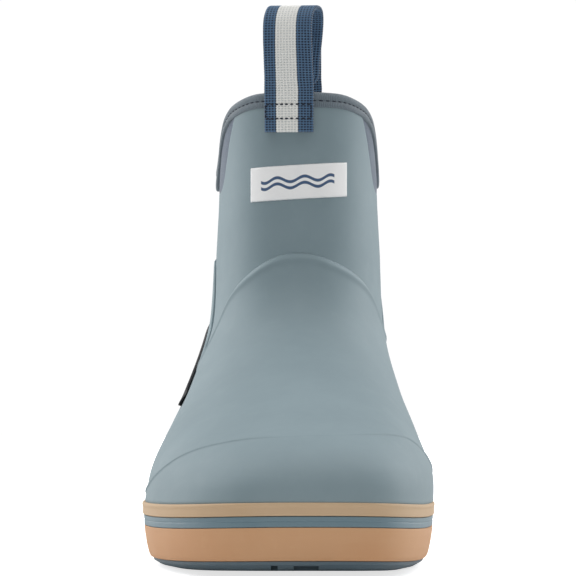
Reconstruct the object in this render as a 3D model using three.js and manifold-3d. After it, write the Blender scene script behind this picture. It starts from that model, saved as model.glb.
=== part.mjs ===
// Ankle-height pull-on deck boot, right foot, in millimetres.
//
// +Z is up, the toe points along -Y and the inner (medial) side of the foot is +X.
// The origin is on the ground, under the middle of the boot's box.
//
// The outside of the rubber upper is one smooth surface. It is described by level
// sections: each height has a front, a back and half widths at the ball, waist and
// heel lines. Every lining, panel and overlay is a layer at its own distance from
// that surface, and every sole layer follows the outline of its bottom edge.
import * as THREE from 'three';
import Module from 'manifold-3d';
import { mergeVertices } from 'three/addons/utils/BufferGeometryUtils.js';

const wasm = await Module();
wasm.setup();

// ---------------------------------------------------------------- driving sizes
const GAP = 0.3;                 // clearance between pieces that touch
const EDGE_GAP = 0.8;            // clearance along a slanting panel edge
const SEAM_GAP_DEG = 0.2;        // half of the gap at a side seam, as an angle
const STEP_DEG = 9;              // angle between two lines of a panel

const RUBBER = 2.0;              // wall of the rubber upper
const LINER = 2.6;               // neoprene lining with its knit face
const OVERLAY = 1.1;             // rubber laid over the upper
const CAP_BEAD = 0.6;            // raised bead along the rear edge of the toe cap
const PATCH = 0.6;               // side patch and front label
const OVER = 0.85;               // gap that lets coarse panels lie on one another
const STIFFENER = 1.2;           // toe puff and heel counter
const GORE = 2.6;                // stretch gore at each side of the collar
const GORE_PROUD = 1.1;          // how far the gore stands out of the rubber

const OUTSOLE = 3.2;             // tread plate
const OUTSOLE_IN = 3.6;          // its edge stands this far inside the sole outline
const FOXING_LOW = 12.1;         // height of the lower gum band
const SHELF = 6;                 // how far that band reaches in under the upper
const STRIPE = 3.8;              // height of the coloured stripe
const FOXING_TOP = 4.1;          // height of the upper band
const TOE_SPRING = 5.0;          // rise of the sole at the toe tip
const SPRING_START = -40;        // the sole rises forward of this line
const MIDSOLE = 9.6;             // foam under the insole board
const WEDGE = 3.6;               // heel lift let into the foam
const SHANK = 1.1;               // steel shank
const SHANK_WIDTH = 16;
const SHANK_LENGTH = 104;
const SHANK_AT = [3, 38];        // its middle
const BOARD = 1.6;               // insole board
const FOOTBED = 3.2;             // foam of the removable footbed
const FOOTBED_CLOTH = 0.7;       // its top cloth

const TREAD_DEPTH = 1.7;
const TREAD_WIDTH = 2.4;
const TREAD_PITCH = 21;
const TREAD_POINT = 9;           // how far each chevron reaches forward
const TREAD_SIDE = 70;           // the grooves run out past both edges of the sole
const TREAD_END = 132;           // and lie between this far ahead and behind
const PATCH_HEIGHT = 24;         // side patch, seen from the outer side
const PATCH_FROM = 60;           // height of its front lower corner
const PATCH_FRONT = -77;         // angle of its front edge
const PATCH_REAR = -99;
const PATCH_RAKE = 0.42;         // it rises by this for each degree rearward

const COLLAR_FRONT = 186.5;      // top of the collar binding in front
const COLLAR_BACK = 185.5;       // and behind
const BINDING_DROP = 6.0;        // how far the binding reaches down outside
const BINDING_IN = 7.0;          // and inside
const BINDING = 1.5;             // thickness of the binding cloth
const THREAD = 0.5;              // diameter of the sewing thread

const LABEL_WIDTH = 39;
const LABEL_HEIGHT = 14;
const LABEL_HEIGHT_UP = 150;     // height of its middle
const LABEL_TILT = 0.06;         // rise over run across the label
const LABEL_X = 4.4;

const WEB_WIDTH = 20;            // pull loop webbing
const WEB = 1.8;
const LOOP_HEIGHT = 35;          // top of the loop above the collar
const LOOP_START = 5.8;          // the free part of the loop starts this far above it
const LEG_TOP = 5.2;             // the sewn legs end this far below the collar top
const LEG_DROP = 16.5;           // and start this far below it
const FRONT_LOOP_X = 0.7;
const FRONT_LOOP_SLIP = 3.2;     // the strap slips sideways by this as it goes over
const LOOP_BELLY = 2.8;          // each leg of the loop bows out by this
const LOOP_CURL = 37;            // twice the bend radius of the collar under the strap
const LOOP_STEPS = 20;
const SEWN_IN = 2.6;             // the box of sewing lies this far inside the leg's edge
const SEWN_WIDE = 1.8;           // width of that row, both as angles
const SEWN_TALL = 2.6;           // the same insets, taken as heights, are less by this
const SEWN_UP = 5.2;             // the box of sewing starts this far above the leg's end

const DEG = Math.PI / 180;

// Heights of the sole layers, from the ground up.
const LOW_FROM = OUTSOLE + GAP;
const LOW_TO = LOW_FROM + FOXING_LOW;
const STRIPE_FROM = LOW_TO + GAP;
const STRIPE_TO = STRIPE_FROM + STRIPE;
const TOP_FROM = STRIPE_TO + GAP;
const TOP_TO = TOP_FROM + FOXING_TOP;
const MIDSOLE_TO = LOW_FROM + MIDSOLE;
const SHELL_FROM = MIDSOLE_TO + GAP;
const BOARD_FROM = SHELL_FROM + SHANK + GAP;
const LINER_FROM = BOARD_FROM + BOARD + GAP;
const BED_FROM = LINER_FROM + LINER + 3 * GAP;
const FEATHER = 24;              // height of the line where the upper meets the sole
const TUCK = 3.0;                // the upper steps in by this behind the foxing

// ---------------------------------------------------------------- smooth curves
// A smooth curve through [position, value] pairs that never overshoots them.
function curve(pairs) {
  const slope = pairs.map((pair, i) => {
    if (i === 0 || i === pairs.length - 1) return 0;
    const before = (pair[1] - pairs[i - 1][1]) / (pair[0] - pairs[i - 1][0]);
    const after = (pairs[i + 1][1] - pair[1]) / (pairs[i + 1][0] - pair[0]);
    return before * after <= 0 ? 0 : (2 * before * after) / (before + after);
  });
  const ends = [[0, 1], [pairs.length - 1, pairs.length - 2]];
  for (const [i, j] of ends) {
    slope[i] = (pairs[j][1] - pairs[i][1]) / (pairs[j][0] - pairs[i][0]);
  }
  return (at) => {
    if (at <= pairs[0][0]) return pairs[0][1];
    const i = pairs.findIndex((pair) => at <= pair[0]) - 1;
    if (i < -1) return pairs[pairs.length - 1][1];
    const [x0, y0] = pairs[Math.max(i, 0)];
    const [x1, y1] = pairs[Math.max(i, 0) + 1];
    const w = x1 - x0;
    const t = (at - x0) / w;
    const m0 = slope[Math.max(i, 0)] * w;
    const m1 = slope[Math.max(i, 0) + 1] * w;
    return (2 * t ** 3 - 3 * t ** 2 + 1) * y0 + (t ** 3 - 2 * t ** 2 + t) * m0
      + (3 * t ** 2 - 2 * t ** 3) * y1 + (t ** 3 - t ** 2) * m1;
  };
}

const smooth = (from, to, at) => THREE.MathUtils.smoothstep(at, from, to);

// ---------------------------------------------------------------- boot surface
// Each curve gives a size of the level section against the section's height.
const front = curve([[24, -148.6], [30, -148.2], [36, -145.5], [42, -139], [47, -128.5],
  [51, -115], [56, -97], [62, -77], [69, -55], [77, -34], [86, -15.5], [96, -1.5],
  [107, 7], [120, 12], [137, 14.8], [160, 16], [187, 15.5]]);
const back = curve([[24, 147.6], [35, 148.6], [48, 147.6], [62, 144.6], [80, 140.4],
  [100, 137.2], [120, 136], [145, 137.4], [187, 140.5]]);

const BALL = 66;                 // angle of the ball line round the section
const WAIST = 100;
const HEEL = 138;
const ballHalf = curve([[24, 54.2], [34, 53.4], [42, 51], [48, 48.4], [55, 45.6],
  [62, 42.4], [70, 39.6], [80, 36.2], [88, 34], [95, 32.8], [107, 31.8], [120, 31.4],
  [146, 30.6], [187, 31.2]]);
const waistHalf = curve([[24, 43], [40, 40.6], [60, 38.2], [80, 36.6], [95, 35.4],
  [107, 34.8], [120, 34.3], [137, 33.4], [146, 33], [160, 33.2], [187, 33.8]]);
const heelHalf = curve([[24, 38], [45, 37.4], [62, 34.8], [80, 30.8], [95, 28.2],
  [120, 25.8], [146, 24.8], [187, 25]]);
const archShare = curve([[24, 3.2], [45, 2], [70, 0]]);      // waist moved outward

const toeBoxy = curve([[24, 2.75], [50, 2.7], [75, 2.35], [110, 2.2]]);   // medial
const toeSloping = curve([[24, 2.35], [50, 2.0], [75, 2.15], [110, 2.2]]); // lateral
const heelRound = curve([[24, 2.8], [60, 2.6], [100, 2.3], [120, 2.2]]);

const middleToe = curve([[24, 7], [50, 8], [75, 5], [110, 4.3]]);
const middleBall = curve([[24, 0.3], [34, 1.2], [48, 1.7], [62, 2.4], [80, 3], [95, 3.9],
  [120, 4.3]]);
const MIDDLE_HEEL = 4.2;

// An angle brought between -180 and 180.
const wrap = (angle) => THREE.MathUtils.euclideanModulo(angle + 180, 360) - 180;

// One side of a superellipse: 0 on the centre line, 1 at a quarter turn.
const roundness = (angle, power) =>
  Math.max(0, 1 - Math.abs(Math.cos(angle * DEG)) ** power) ** (1 / power);

// Point of the level section. The angle runs from 0 at the toe to 180 at the heel,
// below zero on the outer (lateral) side.
function section(angle, height) {
  const turned = wrap(angle);
  const turn = Math.abs(turned);
  const side = turned < 0 ? -1 : 1;
  const z = Math.max(height, FEATHER);
  const toePower = side > 0 ? toeBoxy(z) : toeSloping(z);
  const power = THREE.MathUtils.lerp(toePower, heelRound(z), smooth(70, 110, turn));
  const arch = side < 0 ? archShare(z) : -archShare(z);
  const atBall = ballHalf(z) / roundness(BALL, toePower);
  const atWaist = (waistHalf(z) + arch) / roundness(WAIST, heelRound(z));
  const atHeel = heelHalf(z) / roundness(HEEL, heelRound(z));
  const half = turn < WAIST
    ? THREE.MathUtils.lerp(atBall, atWaist, smooth(BALL, WAIST, turn))
    : THREE.MathUtils.lerp(atWaist, atHeel, smooth(WAIST, HEEL, turn));
  const toMiddle = THREE.MathUtils.lerp(middleToe(z), middleBall(z), smooth(0, BALL, turn));
  const middle = THREE.MathUtils.lerp(toMiddle, MIDDLE_HEEL, smooth(BALL, HEEL, turn));
  const centre = (front(z) + back(z)) / 2;
  const reach = (back(z) - front(z)) / 2;
  return new THREE.Vector2(
    middle + side * half * roundness(turn, power),
    centre - reach * Math.cos(turn * DEG),
  );
}

// Outward direction of the sole outline, in plan.
function outward(angle) {
  const along = section(angle + 1, FEATHER).sub(section(angle - 1, FEATHER));
  return new THREE.Vector2(along.y, -along.x).normalize();
}

// The sole outline moved outward by a distance.
const outline = (angle, out) =>
  section(angle, FEATHER).add(outward(angle).multiplyScalar(out));

// Rise of the sole and of the lowest part of the upper towards the toe.
const lift = (y) => {
  const ahead = Math.max(0, SPRING_START - y) / (SPRING_START + 150);
  return TOE_SPRING * ahead ** 2;
};
const liftFade = (height) => THREE.MathUtils.clamp(1 - (height - FEATHER) / 46, 0, 1);

function skin(angle, height) {
  const at = section(angle, height);
  return new THREE.Vector3(at.x, at.y, height + lift(at.y) * liftFade(height));
}

// Point at a distance outside the rubber upper's outer face, which steps in behind
// the foxing.
function surface(angle, height, out) {
  const around = skin(angle + 0.6, height).sub(skin(angle - 0.6, height));
  const up = skin(angle, height + 0.6).sub(skin(angle, height - 0.6));
  const normal = around.cross(up).normalize();
  const tuck = TUCK * (smooth(FEATHER - 3.5, FEATHER + 1.5, height) - 1);
  const inward = outward(angle).multiplyScalar(tuck);
  return skin(angle, height).add(new THREE.Vector3(inward.x, inward.y, 0))
    .add(normal.multiplyScalar(out));
}

// ---------------------------------------------------------------- solids
// A closed mesh from numbered corners and triangles.
function solid(points, faces) {
  const geometry = new THREE.BufferGeometry();
  const flat = points.flatMap((point) => [point.x, point.y, point.z]);
  geometry.setAttribute('position', new THREE.Float32BufferAttribute(flat, 3));
  geometry.setIndex(faces.flat());
  return geometry;
}

const quad = (a, b, c, d) => [[a, b, c], [a, c, d]];

// A wall between two grids of points, outer[i][j] and inner[i][j]. The first index
// runs round the boot and the second runs up. A ring joins its last line to its
// first, and a floored ring is closed across its lowest row.
function wall(outer, inner, ring = false, floored = false) {
  const lines = outer.length;
  const rows = outer[0].length;
  const points = [...outer.flat(), ...inner.flat()];
  const out = (i, j) => (i % lines) * rows + j;
  const into = (i, j) => lines * rows + out(i, j);
  const faces = [];
  const last = ring ? lines : lines - 1;
  for (let i = 0; i < last; i += 1) {
    for (let j = 0; j < rows - 1; j += 1) {
      faces.push(...quad(out(i, j), out(i + 1, j), out(i + 1, j + 1), out(i, j + 1)));
      faces.push(...quad(into(i, j), into(i, j + 1), into(i + 1, j + 1), into(i + 1, j)));
    }
    const top = rows - 1;
    faces.push(...quad(out(i, top), out(i + 1, top), into(i + 1, top), into(i, top)));
    if (!floored) faces.push(...quad(into(i, 0), into(i + 1, 0), out(i + 1, 0), out(i, 0)));
  }
  if (!ring) {
    for (let j = 0; j < rows - 1; j += 1) {
      faces.push(...quad(into(0, j), out(0, j), out(0, j + 1), into(0, j + 1)));
      faces.push(...quad(out(last, j), into(last, j), into(last, j + 1), out(last, j + 1)));
    }
  }
  if (floored) {
    faces.push(...across(lines, (i) => out(i, 0), false));
    faces.push(...across(lines, (i) => into(i, 0), true));
  }
  return solid(points, faces);
}

// Triangles across a closed outline whose point i faces point count - i.
function across(count, corner, upward) {
  const faces = [];
  for (let i = 0; i < count / 2; i += 1) {
    const [a, b] = [corner(i % count), corner(i + 1)];
    const [c, d] = [corner(count - i - 1), corner((count - i) % count)];
    if (a !== d) faces.push(upward ? [a, b, d] : [b, a, d]);
    if (b !== c) faces.push(upward ? [b, c, d] : [c, b, d]);
  }
  return faces;
}

// Angles from one edge of a panel to the other, on the lines that all panels share.
function lines(from, to) {
  const inside = [];
  for (let a = Math.ceil(from / STEP_DEG) * STEP_DEG; a < to; a += STEP_DEG) {
    if (a - from > 1 && to - a > 1) inside.push(a);
  }
  return [from, ...inside, to];
}

const ROUND = lines(-180, 180).slice(0, -1);

// Heights of the rows of the lining and the upper: the same levels up to the ankle,
// then shares of what is left, so that one layer lies flat on the next.
const LEVELS = [20.5, 25.5, 30.5, 35.5, 40.5, 45, 49.5, 54, 60, 68, 77, 87, 97, 106, 115, 124];
const ABOVE = [0.5, 1];
const tall = (low, high) => {
  const ankle = LEVELS[LEVELS.length - 1];
  return [low, ...LEVELS, ...ABOVE.map((share) => ankle + (high - ankle) * share)];
};
// Evenly spaced rows, or rows that lie closer together low down.
const even = (count, crowd = 1) => (low, high) =>
  Array.from({ length: count + 1 }, (_, j) => low + (high - low) * (j / count) ** crowd);

// A panel between two angles and two heights, at two distances from the surface.
// Heights and distances may be functions of the angle, the height and the share up.
const value = (size, ...at) => (typeof size === 'function' ? size(...at) : size);

function panel({ from, to, low, high, outer, inner, levels, ring, floored, floorGap = 0 }) {
  const angles = ring ? ROUND : lines(from, to);
  const grid = (distance, raise) => angles.map((raw) => {
    const angle = wrap(raw);
    const bottom = value(low, angle) + raise;
    const top = value(high, angle);
    return levels(bottom, top).map((height) => surface(angle, height,
      value(distance, angle, height, (height - bottom) / (top - bottom))));
  });
  return wall(grid(outer, 0), grid(inner, floorGap), ring, floored);
}

// A band round the sole: its section is a closed list of [distance out, height].
function band(profile) {
  const points = ROUND.flatMap((angle) => profile.map(([out, height]) => {
    const at = outline(angle, out);
    return new THREE.Vector3(at.x, at.y, height + lift(at.y));
  }));
  const faces = [];
  const count = profile.length;
  for (let i = 0; i < ROUND.length; i += 1) {
    const next = (i + 1) % ROUND.length;
    for (let j = 0; j < count; j += 1) {
      const k = (j + 1) % count;
      faces.push(...quad(i * count + j, next * count + j, next * count + k, i * count + k));
    }
  }
  return solid(points, faces);
}

// A plate that follows the sole outline, between two heights that may depend on y.
function plate(out, low, high, ahead = -200, behind = 200) {
  const points = [low, high].flatMap((level) => ROUND.map((angle) => {
    const at = outline(angle, out);
    const y = THREE.MathUtils.clamp(at.y, ahead, behind);
    return new THREE.Vector3(at.x, y, value(level, y) + lift(y));
  }));
  const count = ROUND.length;
  const faces = [...across(count, (i) => i, false), ...across(count, (i) => count + i, true)];
  for (let i = 0; i < count; i += 1) {
    const next = (i + 1) % count;
    faces.push(...quad(i, next, count + next, count + i));
  }
  return solid(points, faces);
}

// ---------------------------------------------------------------- joins and cuts
function manifold(geometry) {
  const bare = geometry.clone();
  for (const name of Object.keys(bare.attributes)) {
    if (name !== 'position') bare.deleteAttribute(name);
  }
  const merged = mergeVertices(bare, 1e-4);
  return new wasm.Manifold(new wasm.Mesh({
    numProp: 3,
    vertProperties: new Float32Array(merged.attributes.position.array),
    triVerts: new Uint32Array(merged.index.array),
  }));
}

function geometryOf(shape) {
  const mesh = shape.getMesh();
  const geometry = new THREE.BufferGeometry();
  geometry.setAttribute('position', new THREE.BufferAttribute(mesh.vertProperties, 3));
  geometry.setIndex(new THREE.BufferAttribute(mesh.triVerts, 1));
  return geometry;
}

// ---------------------------------------------------------------- finishes
const finish = (color, roughness, metalness = 0) =>
  new THREE.MeshStandardMaterial({ color, roughness, metalness });
const upperRubber = finish('#7f949c', 0.62);
const overlayRubber = finish('#82979f', 0.6);
const gumRubber = finish('#be976f', 0.66);
const bandRubber = finish('#c6ad8b', 0.66);
const stripeRubber = finish('#6f8893', 0.6);
const outsoleRubber = finish('#5f737d', 0.7);
const neoprene = finish('#6f7f98', 0.9);
const bindingCloth = finish('#7c8891', 0.92);
const threadFinish = finish('#2f3a48', 0.8);
const webbing = finish('#44608a', 0.88);
const labelFinish = finish('#f2f2ef', 0.5);
const patchRubber = finish('#35383d', 0.55);
const foam = finish('#d9d5c8', 0.95);
const boardFinish = finish('#a98f6c', 0.9);
const steel = finish('#b9bcbf', 0.35, 0.9);
const footbedCloth = finish('#39424d', 0.95);

const boot = new THREE.Group();
function add(name, geometry, material) {
  const mesh = new THREE.Mesh(geometry, material);
  mesh.name = name;
  boot.add(mesh);
  return mesh;
}

// ---------------------------------------------------------------- collar lines
// Top of the collar against the angle: high in front and behind, scooped at the sides.
const collar = curve([[0, COLLAR_FRONT], [25, COLLAR_FRONT - 0.3], [50, COLLAR_FRONT - 3.6],
  [65, COLLAR_FRONT - 9], [74, COLLAR_FRONT - 15.5], [82, COLLAR_FRONT - 22],
  [90, COLLAR_FRONT - 27.6], [98, COLLAR_FRONT - 30], [107, COLLAR_FRONT - 28.4],
  [117, COLLAR_FRONT - 21.5], [127, COLLAR_FRONT - 14], [138, COLLAR_FRONT - 7.8],
  [150, COLLAR_FRONT - 4], [165, COLLAR_FRONT - 1.6], [180, COLLAR_BACK]]);
// Bottom of the U-shaped notch that the gore fills.
const NOTCH = 146;
const notch = curve([[48, 178], [52, 172.5], [56, 167], [60, 160.5], [66, 152.5],
  [72, 148], [80, NOTCH + 0.3], [92, NOTCH], [104, NOTCH + 0.3], [112, 149], [120, 155.5],
  [128, 164.5], [134, 172], [138, 180]]);
const underBinding = (angle) => collar(Math.abs(angle)) - BINDING_DROP - GAP;
const rubberTop = (angle) => Math.min(underBinding(angle), notch(Math.abs(angle))
  + (Math.abs(angle) < 48 || Math.abs(angle) > 138 ? 100 : 0));

// ---------------------------------------------------------------- sole unit
function chevron(y) {
  const shape = new THREE.Shape();
  shape.moveTo(-TREAD_SIDE, y + TREAD_POINT);
  shape.lineTo(0, y);
  shape.lineTo(TREAD_SIDE, y + TREAD_POINT);
  shape.lineTo(TREAD_SIDE, y + TREAD_POINT + TREAD_WIDTH);
  shape.lineTo(0, y + TREAD_WIDTH);
  shape.lineTo(-TREAD_SIDE, y + TREAD_POINT + TREAD_WIDTH);
  const below = 2;
  const depth = TREAD_DEPTH + below + lift(y);
  const groove = new THREE.ExtrudeGeometry(shape, { depth, bevelEnabled: false });
  groove.translate(0, 0, -below);
  return groove;
}

let tread = manifold(plate(-OUTSOLE_IN, 0, OUTSOLE));
for (let y = -TREAD_END; y < TREAD_END; y += TREAD_PITCH) {
  tread = tread.subtract(manifold(chevron(y)));
}
add('outsole', geometryOf(tread), outsoleRubber);

add('lower_foxing', band([[-1.6, LOW_FROM], [0.1, LOW_FROM + 5], [1.1, LOW_TO],
  [-TUCK + GAP, LOW_TO], [-TUCK + GAP, MIDSOLE_TO], [-SHELF, MIDSOLE_TO], [-SHELF, LOW_FROM]]),
gumRubber);
add('stripe_band', band([[1.1, STRIPE_FROM], [1.35, STRIPE_TO], [-TUCK + GAP, STRIPE_TO],
  [-TUCK + GAP, STRIPE_FROM]]), stripeRubber);
add('top_foxing', band([[1.8, TOP_FROM], [1.8, TOP_FROM + 2.2], [1.2, TOP_TO], [0.4, TOP_TO],
  [-0.8, TOP_TO - 2], [-TUCK + 2 * GAP, TOP_FROM]]), bandRubber);

const wedgeUnder = (y) => MIDSOLE_TO - WEDGE * smooth(20, 66, y);
add('midsole', plate(-SHELF - GAP, LOW_FROM, wedgeUnder), foam);
// The heel lift is the rear of the same plate, cut off ahead of the arch.
const WEDGE_FROM = 36;
const fullWedge = manifold(plate(-SHELF - GAP, (y) => wedgeUnder(y) + GAP, MIDSOLE_TO));
const rear = new THREE.BoxGeometry(200, 120, 40);
rear.translate(0, WEDGE_FROM + 60, 10);
add('heel_wedge', geometryOf(fullWedge.intersect(manifold(rear))), foam);

const shankShape = new THREE.Shape();
const shankEnd = (SHANK_LENGTH - SHANK_WIDTH) / 2;
shankShape.absarc(0, shankEnd, SHANK_WIDTH / 2, 0, Math.PI);
shankShape.absarc(0, -shankEnd, SHANK_WIDTH / 2, Math.PI, 2 * Math.PI);
const shank = new THREE.ExtrudeGeometry(shankShape, {
  depth: SHANK, bevelEnabled: false, curveSegments: 6,
});
add('shank', shank, steel).position.set(...SHANK_AT, SHELL_FROM);

const BOARD_OUT = -TUCK - RUBBER - 0.5;
add('insole_board', plate(BOARD_OUT, BOARD_FROM, BOARD_FROM + BOARD), boardFinish);

// ---------------------------------------------------------------- upper
// The lining gives way inward where the toe puff and the heel counter lie.
const PUFF_EDGE = 58;
const COUNTER_EDGE = 112;
const PUFF_TOP = 46;
const COUNTER_TOP = 88;
const pocket = (angle, height) => {
  const turn = Math.abs(angle);
  const toe = (1 - smooth(PUFF_EDGE + 2, PUFF_EDGE + 12, turn))
    * (1 - smooth(PUFF_TOP + 1, PUFF_TOP + 6, height));
  const heel = smooth(COUNTER_EDGE - 10, COUNTER_EDGE - 2, turn)
    * (1 - smooth(COUNTER_TOP + 2, COUNTER_TOP + 14, height));
  return (STIFFENER + 2 * GAP) * Math.max(toe, heel);
};
const linerOut = -RUBBER - GAP;
add('neoprene_liner', panel({
  low: LINER_FROM,
  high: (angle) => collar(Math.abs(angle)) - BINDING - GAP,
  outer: (angle, height) => linerOut - pocket(angle, height),
  inner: (angle, height) => linerOut - LINER - pocket(angle, height),
  levels: tall,
  ring: true,
  floored: true,
  floorGap: LINER,
}), neoprene);

add('toe_puff', panel({
  from: -PUFF_EDGE, to: PUFF_EDGE, low: 26, high: PUFF_TOP,
  outer: linerOut - GAP, inner: linerOut - GAP - STIFFENER, levels: even(5),
}), boardFinish);
add('heel_counter', panel({
  from: COUNTER_EDGE, to: 360 - COUNTER_EDGE, low: 26, high: COUNTER_TOP,
  outer: linerOut - GAP, inner: linerOut - GAP - STIFFENER, levels: even(7),
}), boardFinish);

const SEAM = 99;
add('front_upper', panel({
  from: -SEAM + SEAM_GAP_DEG, to: SEAM - SEAM_GAP_DEG, low: SHELL_FROM, high: rubberTop,
  outer: 0, inner: -RUBBER, levels: tall,
}), upperRubber);
add('rear_upper', panel({
  from: SEAM + SEAM_GAP_DEG, to: 360 - SEAM - SEAM_GAP_DEG, low: SHELL_FROM, high: rubberTop,
  outer: 0, inner: -RUBBER, levels: tall,
}), upperRubber);

// Rear edge of the toe cap, over the toe box: lower on the outer side.
const capOuter = curve([[0, 51], [20, 50.4], [36, 47.4], [46, 43.8], [60, 35.4], [70, 27]]);
const capInner = curve([[0, 51], [20, 51.2], [41, 49.6], [52, 47], [62, 43], [72, 35], [79, 27]]);
const capEdge = (angle) => (angle < 0 ? capOuter(-angle) : capInner(angle));
const CAP_LATERAL = -68;
const CAP_MEDIAL = 77;
const OVERLAY_FROM = TOP_TO + GAP + 0.2;
add('toe_cap', panel({
  from: CAP_LATERAL, to: CAP_MEDIAL, low: OVERLAY_FROM, high: capEdge,
  outer: (angle, height, share) => OVER + OVERLAY + CAP_BEAD * smooth(0.8, 1, share),
  inner: OVER, levels: even(6),
}), overlayRubber);

// Instep overlay: from the toe cap up to an arch over the instep.
const archOuter = curve([[0, 121.4], [8, 120.9], [20, 117.8], [34, 112.3], [46, 106.5],
  [54, 100], [60, 92], [66, 83], [72, 74]]);
const archInner = curve([[0, 121.4], [8, 120.9], [20, 118.2], [38, 113.2], [50, 108.5],
  [60, 102.5], [68, 96], [76, 90], [84, 86]]);
const VAMP_LATERAL = -72;
const VAMP_MEDIAL = 83.5;
const vampLow = (angle) => (angle < CAP_LATERAL || angle > CAP_MEDIAL
  ? OVERLAY_FROM : capEdge(angle) + EDGE_GAP);
add('instep_overlay', panel({
  from: VAMP_LATERAL, to: VAMP_MEDIAL, low: vampLow,
  high: (angle) => (angle < 0 ? archOuter(-angle) : archInner(angle)),
  outer: OVER + OVERLAY, inner: OVER,
  levels: even(14, 1.4),
}), overlayRubber);

// Heel overlay, which reaches further forward on the outer side.
const HEEL_LATERAL = -74;
const HEEL_MEDIAL = 86;
const heelTopOuter = curve([[74, 90], [80, 105], [86, 115], [93, 119.4], [104, 119],
  [130, 111], [180, 104]]);
const heelTopInner = curve([[86, 62], [94, 84], [102, 101], [112, 110], [130, 110], [180, 104]]);
add('heel_overlay', panel({
  from: HEEL_MEDIAL, to: 360 + HEEL_LATERAL, low: OVERLAY_FROM,
  high: (angle) => (angle < 0 ? heelTopOuter(-angle) : heelTopInner(angle)),
  outer: OVER + OVERLAY, inner: OVER, levels: even(8),
}), overlayRubber);

const PATCH_OVER = 2 * OVER + OVERLAY;
const patchLow = (angle) => PATCH_FROM + (PATCH_FRONT - angle) * PATCH_RAKE;
add('side_patch', panel({
  from: PATCH_REAR, to: PATCH_FRONT,
  low: patchLow,
  high: (angle) => patchLow(angle) + PATCH_HEIGHT,
  outer: PATCH_OVER + PATCH, inner: PATCH_OVER, levels: even(3),
}), patchRubber);

// ---------------------------------------------------------------- collar
const goreTop = (angle) => underBinding(angle);
const goreOut = (angle, height, share) => GORE_PROUD * (1 - 0.7 * share);
const goreAt = (from, to) => panel({
  from, to,
  low: (angle) => notch(Math.abs(angle)) + EDGE_GAP,
  high: goreTop,
  outer: goreOut,
  inner: GORE_PROUD - GORE - GAP,
  levels: even(3),
});
add('medial_gore', goreAt(54, 131), neoprene);
add('lateral_gore', goreAt(-131, -54), neoprene);

// Binding: a folded strip over the top edge of the lining.
const LINER_IN = linerOut - LINER;
const bindingProfile = [
  [-RUBBER, -BINDING_DROP], [-RUBBER + BINDING + 0.6, -BINDING_DROP],
  [-RUBBER + BINDING + 0.6, -1.6], [-RUBBER + BINDING - 0.4, 0],
  [LINER_IN - GAP - BINDING + 0.6, 0], [LINER_IN - GAP - BINDING, -1.6],
  [LINER_IN - GAP - BINDING, -BINDING_IN], [LINER_IN - GAP, -BINDING_IN],
  [LINER_IN - GAP, -BINDING], [-RUBBER, -BINDING],
];

// A ring that follows the collar: its section is [distance out, height from the top].
function collarRing(profile) {
  const points = ROUND.flatMap((angle) => profile.map(([out, rise]) => {
    const top = collar(Math.abs(angle));
    return surface(angle, top + rise, out);
  }));
  const faces = [];
  const count = profile.length;
  for (let i = 0; i < ROUND.length; i += 1) {
    const next = (i + 1) % ROUND.length;
    for (let j = 0; j < count; j += 1) {
      const k = (j + 1) % count;
      faces.push(...quad(i * count + j, next * count + j, next * count + k, i * count + k));
    }
  }
  return solid(points, faces);
}
add('collar_binding', collarRing(bindingProfile), bindingCloth);

const THREAD_OUT = -RUBBER + BINDING + 0.6 + GAP;
const THREAD_RISE = -4;
add('binding_thread', collarRing([[THREAD_OUT, THREAD_RISE],
  [THREAD_OUT + THREAD, THREAD_RISE], [THREAD_OUT + THREAD, THREAD_RISE + THREAD],
  [THREAD_OUT, THREAD_RISE + THREAD]]), threadFinish);

// ---------------------------------------------------------------- front label
// Angle at which the section reaches a place across the boot, between two angles.
function angleAt(x, height, from, to) {
  let [low, high] = [from, to];
  const rising = section(to, height).x > section(from, height).x;
  for (let i = 0; i < 30; i += 1) {
    const middle = (low + high) / 2;
    if (section(middle, height).x < x === rising) low = middle;
    else high = middle;
  }
  return low;
}

const labelEdge = (side) =>
  angleAt(LABEL_X + (side * LABEL_WIDTH) / 2, LABEL_HEIGHT_UP, -80, 80);
const labelMiddle = (angle) => LABEL_HEIGHT_UP
  + LABEL_TILT * (section(angle, LABEL_HEIGHT_UP).x - LABEL_X);
add('front_label', panel({
  from: labelEdge(-1), to: labelEdge(1),
  low: (angle) => labelMiddle(angle) - LABEL_HEIGHT / 2,
  high: (angle) => labelMiddle(angle) + LABEL_HEIGHT / 2,
  outer: OVER + PATCH, inner: OVER, levels: even(2),
}), labelFinish);

// ---------------------------------------------------------------- pull loops
const LEG_OUT = OVER;
const LEG_IN = LINER_IN - GAP - BINDING - GAP;

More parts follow.
